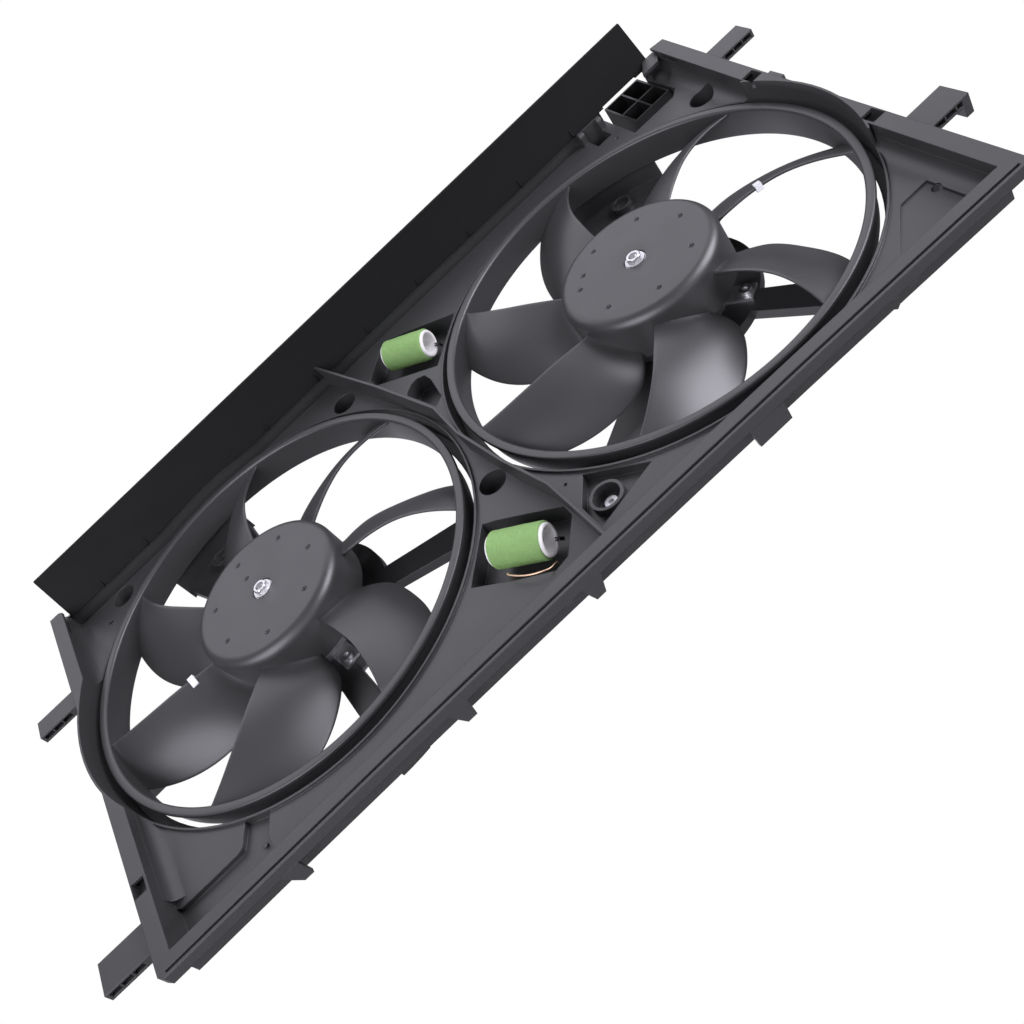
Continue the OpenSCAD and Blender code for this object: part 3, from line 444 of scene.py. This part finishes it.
class Repeater:
    """Geometry Nodes that repeat one mesh round an axis along the depth."""

    def __init__(self) -> None:
        """Builds the tree once."""
        tree = bpy.data.node_groups.new("repeat_round_axis", "GeometryNodeTree")
        self.tree = tree
        sockets = tree.interface
        sockets.new_socket("Geometry", in_out="INPUT", socket_type="NodeSocketGeometry")
        self.inputs = {
            "count": sockets.new_socket("Count", in_out="INPUT", socket_type="NodeSocketInt").identifier,
            "turn": sockets.new_socket("First turn", in_out="INPUT",
                                       socket_type="NodeSocketFloat").identifier,
            "centre": sockets.new_socket("Centre", in_out="INPUT", socket_type="NodeSocketVector").identifier,
            "material": sockets.new_socket("Finish", in_out="INPUT",
                                           socket_type="NodeSocketMaterial").identifier,
        }
        sockets.new_socket("Geometry", in_out="OUTPUT", socket_type="NodeSocketGeometry")
        nodes, link = tree.nodes, tree.links.new
        source, out = nodes.new("NodeGroupInput"), nodes.new("NodeGroupOutput")
        line = nodes.new("GeometryNodeMeshLine")
        line.mode = "OFFSET"
        line.inputs["Offset"].default_value = (0.0, 0.0, 0.0)
        link(source.outputs["Count"], line.inputs["Count"])
        link(source.outputs["Centre"], line.inputs["Start Location"])
        index = nodes.new("GeometryNodeInputIndex")
        share = self._math("DIVIDE", index.outputs[0], source.outputs["Count"])
        full = self._math("MULTIPLY", share, 2 * math.pi)
        turned = self._math("ADD", full, source.outputs["First turn"])
        back = self._math("MULTIPLY", turned, -1.0)
        angle = nodes.new("ShaderNodeCombineXYZ")
        link(back, angle.inputs["Y"])
        spread = nodes.new("GeometryNodeInstanceOnPoints")
        link(line.outputs["Mesh"], spread.inputs["Points"])
        link(source.outputs["Geometry"], spread.inputs["Instance"])
        link(angle.outputs[0], spread.inputs["Rotation"])
        real = nodes.new("GeometryNodeRealizeInstances")
        link(spread.outputs["Instances"], real.inputs["Geometry"])
        dress = nodes.new("GeometryNodeSetMaterial")
        link(real.outputs["Geometry"], dress.inputs["Geometry"])
        link(source.outputs["Finish"], dress.inputs["Material"])
        link(dress.outputs["Geometry"], out.inputs[0])

    def _math(self, operation: str, a: bpy.types.NodeSocket,
              b: Union[float, bpy.types.NodeSocket]) -> bpy.types.NodeSocket:
        """Adds a Math node to the tree."""
        node = self.tree.nodes.new("ShaderNodeMath")
        node.operation = operation
        self.tree.links.new(a, node.inputs[0])
        if isinstance(b, float):
            node.inputs[1].default_value = b
        else:
            self.tree.links.new(b, node.inputs[1])
        return node.outputs[0]

    def spread(self, thing: bpy.types.Object, count: int, turn: float, centre: Flat) -> bpy.types.Object:
        """Repeats a piece that was made about the origin.

        Args:
            thing: the piece, with its place about the axis in its mesh.
            count: how many there are.
            turn: the first one's angle in degrees, anticlockwise seen from the front.
            centre: the axis, as x and z in mm.

        Returns:
            The same object with all the copies as one plain mesh.
        """
        live = thing.modifiers.new("repeat", "NODES")
        live.node_group = self.tree
        live[self.inputs["count"]] = count
        live[self.inputs["turn"]] = math.radians(turn)
        live[self.inputs["centre"]] = (centre[0] * MM, 0.0, centre[1] * MM)
        live[self.inputs["material"]] = thing.data.materials[0]
        baked = bpy.data.meshes.new_from_object(thing.evaluated_get(bpy.context.evaluated_depsgraph_get()))
        thing.modifiers.remove(live)
        old = thing.data
        thing.data = baked
        bpy.data.meshes.remove(old)
        return thing


# Sub-assemblies


@dataclass
class FanWheel:
    """One fan wheel: hub with its dimples, blades, tip ring and shaft nut."""

    side: Side
    centre: Flat
    turn: float
    palette: Palette
    repeater: Repeater
    hub_r: float = 62.0
    hub_y: float = 4.6
    hub_back: float = 40.6
    hub_round: float = 8.0
    ring_y: float = 14.0
    ring_back: float = 38.0
    ring_inner: float = 158.2
    ring_wall: float = 2.2
    ring_r: float = 165.0
    blades: int = 7
    blade_t: float = 2.6
    stops: tuple = (0.0, 0.13, 0.27, 0.51, 0.76, 1.0)
    front_edge: tuple = (8.5, 8.3, 7.8, 6.4, 3.5, 0.0)
    back_edge: tuple = (44.0, 45.5, 44.0, 35.0, 25.5, 15.6)
    front_swell: float = 6.5
    back_swell: float = 8.0
    nut_front: float = 1.2
    seat_y: float = 5.8

    @property
    def body(self) -> str:
        """The CAD body that carries the wheel."""
        return f"fan_{self.side.value}"

    def name(self, piece: str) -> str:
        """A piece's name on this side."""
        return f"{piece}_{self.side.value}"

    def blade_point(self, u: float, s: float, lift: float) -> Point:
        """A point of a blade.

        Args:
            u: fraction of the span from hub to ring.
            s: fraction of the chord from front edge to back edge.
            lift: distance off the middle surface in mm, toward the front.
        """
        root, tip = self.hub_r - 1.4, self.ring_inner + self.ring_wall / 2
        r = root + (tip - root) * u
        a0 = lookup(u, self.stops, self.front_edge)
        a1 = lookup(u, self.stops, self.back_edge)
        a = math.radians(a0 + (a1 - a0) * s)
        return (r * math.cos(a) * MM, (self.blade_depth(u, s) - lift) * MM, r * math.sin(a) * MM)

    def blade_depth(self, u: float, s: float) -> float:
        """Depth of a blade's middle surface in mm, which swells both ways at mid span."""
        swell = math.sin(math.pi * u)
        front = self.ring_y + 4 - self.front_swell * swell
        back = self.ring_back - 1.5 + self.back_swell * swell
        return front + (back - front) * (s - 0.1 * math.sin(math.pi * s))

    def make_blades(self) -> bpy.types.Object:
        """The seven blades as one piece."""
        shell = Shell()
        spans, chords = 34, 22
        rows = []
        for i in range(spans + 1):
            u = i / spans
            at_hub, at_ring = max(0.0, 1 - u / 0.05), max(0.0, 1 - (1 - u) / 0.03)
            swell = 1.0 + 1.4 * at_hub ** 2 + 0.8 * at_ring ** 2
            loop = []
            for j in range(chords + 1):
                s = 0.5 - 0.5 * math.cos(math.pi * j / chords)
                loop.append(self.blade_point(u, s, self.half_thickness(s) * swell))
            for j in range(chords - 1, 0, -1):
                s = 0.5 - 0.5 * math.cos(math.pi * j / chords)
                loop.append(self.blade_point(u, s, -self.half_thickness(s) * swell))
            rows.append(loop)
        shell.grid(rows, close_cols=True)
        shell.fan(rows[0])
        shell.fan(rows[-1], True)
        piece = shell.build(self.name("blades"), self.palette["fan_plastic"], 50.0)
        return self.repeater.spread(piece, self.blades, self.turn, self.centre)

    def half_thickness(self, s: float) -> float:
        """Half of the blade's thickness along its chord, rounded at both edges."""
        thinnest, nose_part, tail_part = 0.02, 0.03, 0.02
        body = 0.5 * self.blade_t * (0.42 + 0.58 * math.sin(math.pi * min(1.0, 0.25 + 0.75 * s) ** 0.9))
        nose = math.sqrt(max(0.0, 1 - (1 - min(1.0, s / nose_part)) ** 2))
        tail = math.sqrt(max(0.0, 1 - (1 - min(1.0, (1 - s) / tail_part)) ** 2))
        return max(thinnest, body * min(nose, tail))

    def make_hub(self) -> bpy.types.Object:
        """The hub cup with its rounded face and moulded recess."""
        rnd, wall, bore, boss_r, boss_back = self.hub_round, 2.6, 8.0, 13.0, 23.0
        corner = (self.hub_r - rnd, self.hub_y + rnd)
        profile = [(bore, self.seat_y), (8.3, self.seat_y)]
        profile += [(8.5, self.seat_y - 0.2), (8.5, self.hub_y + 0.3)]
        profile += [(8.6, self.hub_y + 0.08), (8.9, self.hub_y)]
        profile += [(24.0, self.hub_y), (40.0, self.hub_y)]
        profile += arc(corner, rnd, -90, 0, 16)
        profile += [(self.hub_r, self.hub_back - 0.6), (self.hub_r - 0.6, self.hub_back)]
        profile += [(self.hub_r - wall, self.hub_back)]
        profile += [(self.hub_r - wall, self.hub_y + rnd)]
        profile += arc(corner, rnd - wall, 0, -90, 6)[1:]
        profile += [(boss_r, self.hub_y + wall), (boss_r, boss_back), (bore, boss_back)]
        shell = Shell()
        revolve(shell, profile, 160)
        hub = shell.build(self.name("hub"), self.palette["fan_plastic"], 40.0)
        self.press_dimples(hub)
        return place_object(hub, Matrix.Translation((self.centre[0] * MM, 0.0, self.centre[1] * MM)))

    def press_dimples(self, hub: bpy.types.Object) -> None:
        """Cuts the dimples of the ejector pins into the hub's face."""
        pins = Shell()
        dimple = ((2.1, -1.0), (2.1, 0.0), (1.5, 1.5), (0.05, 1.7))
        circle_r, odd_left, odd_right = 44.0, (24.0, 107.0), (41.7, 136.0)
        places = [(circle_r, self.turn + (k + 0.5) * 360 / self.blades) for k in range(self.blades)]
        places.append(odd_left if self.side is Side.LEFT else odd_right)
        for r, a in places:
            x, z = r * math.cos(math.radians(a)), r * math.sin(math.radians(a))
            rows = []
            for radius, depth in dimple:
                rows.append([((x + radius * math.cos(t)) * MM, (self.hub_y + depth) * MM,
                              (z + radius * math.sin(t)) * MM) for t in np.linspace(0, 2 * math.pi, 21)[:-1]])
            pins.grid(rows, close_cols=True)
            pins.fan(rows[0])
            pins.fan(rows[-1], True)
        tool = pins.build("dimple_tool", self.palette["fan_plastic"])
        cut = hub.modifiers.new("dimples", "BOOLEAN")
        cut.operation, cut.object, cut.solver = "DIFFERENCE", tool, "EXACT"
        baked = bpy.data.meshes.new_from_object(hub.evaluated_get(bpy.context.evaluated_depsgraph_get()))
        hub.modifiers.remove(cut)
        hub.data = baked
        bpy.data.objects.remove(tool)
        hub.data.polygons.foreach_set("use_smooth", [True] * len(hub.data.polygons))
        hub.data.set_sharp_from_angle(angle=math.radians(40.0))

    def make_ring(self) -> bpy.types.Object:
        """The ring that joins the blade tips, with its front lip."""
        inner, outer = self.ring_inner, self.ring_inner + self.ring_wall
        profile = [(inner, self.ring_back)]
        inner_round, lip_round = 2.2, 1.0
        profile += [(inner, self.ring_y + inner_round)]
        profile += arc((inner + inner_round, self.ring_y + inner_round), inner_round, 180, 270, 5)
        profile += arc((self.ring_r - lip_round, self.ring_y + lip_round), lip_round, -90, 0, 4)
        profile += [(self.ring_r, self.ring_y + 3.0), (outer + 0.8, self.ring_y + 3.0)]
        profile += [(outer, self.ring_y + 3.8)]
        profile += [(outer, self.ring_back)]
        shell = Shell()
        revolve(shell, profile, 256, self.centre)
        return shell.build(self.name("tip_ring"), self.palette["fan_plastic"], 40.0)

    def make_nut(self) -> bpy.types.Object:
        """Hexagon nut with chamfered corners."""
        shell = Shell()
        across, bore, front, back = 10.0, 3.05, self.nut_front, self.hub_y
        corner = across / 2 / math.cos(math.radians(30))

        def hexagon(y: float, round_r: float = across) -> list[Point]:
            """Points round the nut, cut back to a circle for the chamfer."""
            out = []
            for k in range(48):
                a = 2 * math.pi * k / 48
                flat = across / 2 / math.cos((a % (math.pi / 3)) - math.pi / 6)
                r = min(flat, round_r)
                out.append(((self.centre[0] + r * math.cos(a)) * MM, y * MM,
                            (self.centre[1] + r * math.sin(a)) * MM))
            return out

        rows = [hexagon(front + 0.5, bore), hexagon(front, bore + 0.3), hexagon(front, across / 2 - 0.1),
                hexagon(front + 0.45, corner * 0.965), hexagon(front + 0.9), hexagon(back - 0.5),
                hexagon(back - 0.1, corner * 0.96), hexagon(back, bore)]
        shell.grid(rows, close_cols=True, close_rows=True)
        return shell.build(self.name("nut"), self.palette["bright_steel"], 24.0)

    def build(self) -> None:
        """Makes every piece of the wheel and rides it on its body."""
        wheel = [self.make_hub(), self.make_blades(), self.make_ring()]
        for piece in wheel:
            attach(piece, self.body)
            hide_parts(self.name("fan_wheel"))
            LOG.info("fan wheel: %s", piece.name)
        nut = self.make_nut()
        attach(nut, self.body)
        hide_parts(self.name("shaft_nut"))
        LOG.info("fan wheel: %s", nut.name)


@dataclass
class Resistor:
    """A wound resistor: ceramic tube, green coating, clip and terminal."""

    name: str
    centre: Flat
    palette: Palette
    depth: float = 18.0
    turn: float = 43.0
    coat_r: float = 12.8
    core_r: float = 11.0
    hole_r: float = 7.4
    coat_len: float = 38.0
    core_end: float = 2.0
    wire_pitch: float = 2.1
    clip_turn: float = 35.0
    steps: int = 72

    def matrix(self) -> Matrix:
        """Takes a piece drawn about the x axis into its place."""
        return (Matrix.Translation((self.centre[0] * MM, self.depth * MM, self.centre[1] * MM))
                @ Matrix.Rotation(math.radians(self.turn), 4, "Y"))

    def lathe(self, profile: Profile, wobble: Callable[[float, float], float]) -> Shell:
        """Turns an [x, radius] profile about the x axis, with a wobble of the radius."""
        shell = Shell()
        rows = []
        for k in range(self.steps):
            a = 2 * math.pi * k / self.steps
            ring = [(x, r + wobble(x, a)) for x, r in profile]
            rows.append([(x * MM, r * math.cos(a) * MM, r * math.sin(a) * MM) for x, r in ring])
        shell.grid(rows, close_rows=True, close_cols=True)
        return shell

    def coat_wobble(self, x: float, a: float) -> float:
        """Soft ridges of the winding under the cement, and hand-laid unevenness."""
        if abs(x) > self.coat_len / 2 - 1.0:
            return 0.0
        ridges = 0.07 * math.cos(2 * math.pi * x / self.wire_pitch + a)
        return -0.09 + ridges + 0.05 * math.sin(3 * a + x * 0.21) + 0.04 * math.sin(7 * a - x * 0.5)

    def make_coat(self) -> bpy.types.Object:
        """The green coating, with round shoulders."""
        half, shoulder, skin_r = self.coat_len / 2, 1.2, self.coat_r - 0.1
        skin = [(-half + shoulder * (1 - math.cos(t)), skin_r - shoulder + shoulder * math.sin(t))
                for t in np.linspace(0, math.pi / 2, 6)]
        middle = [(x, skin_r) for x in np.linspace(-half + 1.4, half - 1.4, 74)]
        tail = [(-x, r) for x, r in reversed(skin)]
        inner = self.core_r + 0.05
        profile = [(-half, inner)] + skin + middle + tail + [(half, inner)]
        shell = self.lathe(profile, self.coat_wobble)
        return shell.build(f"coating_{self.name}", self.palette["green_cement"], 60.0)

    def make_core(self) -> bpy.types.Object:
        """The white tube, whose bore opens like a funnel at both ends."""
        end, outer = self.coat_len / 2 + self.core_end, self.core_r - 0.03
        half = [(end - 0.6, outer), (end, self.core_r - 0.6), (end, self.hole_r + 1.7),
                (end - 0.5, self.hole_r + 1.2), (end - 4.0, self.hole_r + 0.4), (end - 9.0, self.hole_r)]
        shell = self.lathe([(-x, r) for x, r in reversed(half)] + half, lambda x, a: 0.0)
        return shell.build(f"core_{self.name}", self.palette["white_ceramic"], 25.0)

    def make_clip(self) -> bpy.types.Object:
        """The steel strip that holds the tube, bent back past both ends."""
        strip = Shell()
        half_width, thick = 1.2, 0.5
        corners = ((0.0, -half_width), (thick, -half_width), (thick, half_width), (0.0, half_width))
        bend = [(22.5, 15.2), (22.5, 9.4), (21.9, 8.8)]
        rows = [[self.in_bore(x, r + lift, t) for lift, t in corners]
                for x, r in [(-x, r) for x, r in bend] + bend[::-1]]
        strip.grid(rows, close_cols=True)
        strip.fan(rows[0], True)
        strip.fan(rows[-1])
        return strip.build(f"clip_{self.name}", self.palette["cap_steel"], 30.0)

    def make_terminal(self) -> bpy.types.Object:
        """The two dark prongs at the rim of the bore."""
        pins = Shell()
        for t in (-0.8, 0.8):
            path = [Vector(self.in_bore(x, 8.0, t)) / MM for x in (20.0, 22.0, 23.8)]
            tube_along(pins, path, 0.5)
        return pins.build(f"terminal_{self.name}", self.palette["black_plastic"], 40.0)

    def in_bore(self, x: float, r: float, across: float) -> Point:
        """A point along the clip's side of the bore.

        Args:
            x: place along the tube in mm.
            r: distance from the tube's axis in mm.
            across: distance to the side of the clip's middle in mm.

        Returns:
            The point in metres, before the tube is set in its place.
        """
        back, up = math.cos(math.radians(self.clip_turn)), math.sin(math.radians(self.clip_turn))
        return (x * MM, (r * back - across * up) * MM, (r * up + across * back) * MM)

    def build(self) -> None:
        """Makes every piece and sets it over its node."""
        for piece, node, slot in ((self.make_coat(), "resistor_coating", "green_cement"),
                                  (self.make_core(), "resistor_core", "white_ceramic"),
                                  (self.make_clip(), "resistor_clip", "cap_steel"),
                                  (self.make_terminal(), "resistor_terminal", "black_plastic")):
            place_object(piece, self.matrix())
            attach(piece, "frame")
            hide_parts(f"{node}_{self.name}")
            LOG.info("resistor: %s", piece.name)


@dataclass
class ThermalLink:
    """Bare copper wire beside the lower resistor, as one smooth bent bar."""

    palette: Palette
    radius: float = 0.55
    path: tuple = ((-36, 34, -145), (-36.4, 18, -144.2), (-37.1, 14.8, -147.5), (-31.7, 14.8, -155.5),
                   (-25.9, 14.8, -161.5), (-20, 15.5, -165), (-15.6, 17.5, -165.5), (-11.1, 20.3, -162.5),
                   (-9.6, 24, -160), (-9.5, 34, -159))

    def build(self) -> None:
        """Makes the wire over its node."""
        shell = Shell()
        tube_along(shell, smooth_path(self.path, 8), self.radius)
        wire = shell.build("link_wire", self.palette["copper"], 60.0)
        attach(wire, "frame")
        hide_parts("thermal_link")
        LOG.info("thermal link: %s", wire.name)


class Smoother:
    """Geometry Nodes that weld a CAD mesh and shade its curved faces smooth."""

    def __init__(self, angle: float = 30.0) -> None:
        """Builds the tree once, for edges sharper than an angle in degrees."""
        tree = bpy.data.node_groups.new("weld_and_smooth", "GeometryNodeTree")
        tree.interface.new_socket("Geometry", in_out="INPUT", socket_type="NodeSocketGeometry")
        tree.interface.new_socket("Geometry", in_out="OUTPUT", socket_type="NodeSocketGeometry")
        nodes, link = tree.nodes, tree.links.new
        weld = nodes.new("GeometryNodeMergeByDistance")
        weld.inputs["Distance"].default_value = WELD
        link(nodes.new("NodeGroupInput").outputs[0], weld.inputs["Geometry"])
        faces, edges = nodes.new("GeometryNodeSetShadeSmooth"), nodes.new("GeometryNodeSetShadeSmooth")
        faces.domain, edges.domain = "FACE", "EDGE"
        faces.inputs["Shade Smooth"].default_value = True
        edges.inputs["Shade Smooth"].default_value = False
        link(weld.outputs[0], faces.inputs["Geometry"])
        link(faces.outputs[0], edges.inputs["Geometry"])
        sharp = nodes.new("ShaderNodeMath")
        sharp.operation = "GREATER_THAN"
        sharp.inputs[1].default_value = math.radians(angle)
        link(nodes.new("GeometryNodeInputMeshEdgeAngle").outputs[0], sharp.inputs[0])
        link(sharp.outputs[0], edges.inputs["Selection"])
        link(edges.outputs[0], nodes.new("NodeGroupOutput").inputs[0])
        self.tree = tree

    def apply(self, thing: bpy.types.Object) -> None:
        """Puts the tree on an object as a modifier."""
        thing.modifiers.new("weld_and_smooth", "NODES").node_group = self.tree


@dataclass
class CadNodes:
    """Finishes for the CAD nodes that are shown as they are."""

    palette: Palette
    smoother: Smoother
    finishes: dict = field(default_factory=lambda: {
        # The air deflector is the same plastic as the shroud; its darker finish is painted shade
        "air_deflector": "deflector_plastic",
        "motor_shaft_left": "lamination_steel",
        "motor_shaft_right": "lamination_steel",
    })

    def build(self) -> None:
        """Gives each node the finish of its record slot, or its own."""
        slots = {entry["node"]: entry["material_slot"] for entry in frame["record"]["subparts"]}
        for name, thing in frame["nodes"].items():
            finish = self.finishes.get(name, slots.get(name, "moulded_plastic"))
            for slot in thing.material_slots:
                slot.material = self.palette[finish]
            if not thing.material_slots:
                thing.data.materials.append(self.palette[finish])
            self.smoother.apply(thing)
            LOG.info("finish of %s: %s", name, finish)


@dataclass
class Studio:
    """Camera, lamps, backdrop and floor."""

    eye: Point = (-0.0116, -0.4489, -0.6572)
    lens: float = 39.636
    right: Point = (0.7265, 0.5241, -0.4445)
    down: Point = (-0.6872, 0.5575, -0.4658)
    ahead: Point = (0.0037, 0.6438, 0.7651)
    tint: Point = (1.0, 0.98, 1.08)
    lamps: tuple = (
        ("key", (0.1, -1.35, 1.6), (3.4, 1.7), 23.5),
        ("low", (-1.1, -0.9, -0.9), (1.3, 1.3), 24.0),
        ("side", (1.5, -0.9, -0.35), (1.1, 1.1), 35.0),
        ("back", (-0.9, 1.9, 0.9), (2.0, 1.6), 14.0),
    )

    def build(self) -> None:
        """Sets the whole stage."""
        self.make_camera()
        self.make_world()
        self.make_floor()
        aim = Vector((0.0, 0.0, 0.0))
        for name, place, size, power in self.lamps:
            self.lamp(name, Vector(place), aim, size, power)

    def make_camera(self) -> None:
        """The photograph's viewpoint."""
        data = bpy.data.cameras.new("camera")
        data.lens, data.sensor_width, data.clip_end = self.lens, 36.0, 20.0
        camera = bpy.data.objects.new("camera", data)
        matrix = Matrix.Identity(4)
        for axis, vector in enumerate((Vector(self.right), -Vector(self.down), -Vector(self.ahead))):
            for row in range(3):
                matrix[row][axis] = vector[row]
        for row in range(3):
            matrix[row][3] = self.eye[row]
        camera.matrix_world = matrix
        bpy.context.scene.collection.objects.link(camera)
        bpy.context.scene.camera = camera

    def make_world(self) -> None:
        """A white backdrop for the camera and a soft grey light for the rest."""
        world = bpy.data.worlds.new("studio")
        world.use_nodes = True
        tree = world.node_tree
        tree.nodes.clear()
        path = tree.nodes.new("ShaderNodeLightPath")
        seen = tree.nodes.new("ShaderNodeMath")
        seen.operation = "MAXIMUM"
        tree.links.new(path.outputs["Is Camera Ray"], seen.inputs[0])
        tree.links.new(path.outputs["Is Transmission Ray"], seen.inputs[1])
        soft, white = tree.nodes.new("ShaderNodeBackground"), tree.nodes.new("ShaderNodeBackground")
        soft.inputs["Color"].default_value = (0.93, 0.91, 1.0, 1.0)
        soft.inputs["Strength"].default_value = 0.22
        white.inputs["Color"].default_value = (1.0, 1.0, 1.0, 1.0)
        mix = tree.nodes.new("ShaderNodeMixShader")
        tree.links.new(seen.outputs[0], mix.inputs[0])
        tree.links.new(soft.outputs[0], mix.inputs[1])
        tree.links.new(white.outputs[0], mix.inputs[2])
        out = tree.nodes.new("ShaderNodeOutputWorld")
        tree.links.new(mix.outputs[0], out.inputs["Surface"])
        bpy.context.scene.world = world
        bpy.context.scene.view_settings.view_transform = "Standard"

    def make_floor(self) -> None:
        """A pale floor far below the part, which hangs above it."""
        shell = Shell()
        size, level = 6.0, -1.6
        shell.fan([(-size, -size, level), (size, -size, level), (size, size, level), (-size, size, level)])
        g = Graph("floor")
        tone = g.noise(3.0, 2.0)
        floor = shell.build("floor", g.finish(Base_Color=g.mix(tone, rgb(0.86), rgb(0.9)), Roughness=0.8))

    def lamp(self, name: str, place: Vector, target: Vector, size: Flat, power: float) -> None:
        """An oblong area lamp that faces a point."""
        data = bpy.data.lights.new(name, "AREA")
        data.shape, data.energy = "RECTANGLE", power
        data.size, data.size_y = size
        data.color = self.tint
        lamp = bpy.data.objects.new(name, data)
        facing = (target - place).to_track_quat("-Z", "Y").to_matrix().to_4x4()
        lamp.matrix_world = Matrix.Translation(place) @ facing
        bpy.context.scene.collection.objects.link(lamp)


def main() -> None:
    """Builds the stage and the part, in order."""
    Studio().build()
    palette = Palette()
    repeater = Repeater()
    CadNodes(palette, Smoother()).build()
    FanWheel(Side.LEFT, (-175.0, 10.3), 229.5, palette, repeater).build()
    FanWheel(Side.RIGHT, (175.0, -10.3), 78.1, palette, repeater).build()
    Resistor("upper", (21.0, 132.6), palette).build()
    Resistor("lower", (-18.9, -132.0), palette).build()
    ThermalLink(palette).build()


if __name__ == "__main__":
    main()
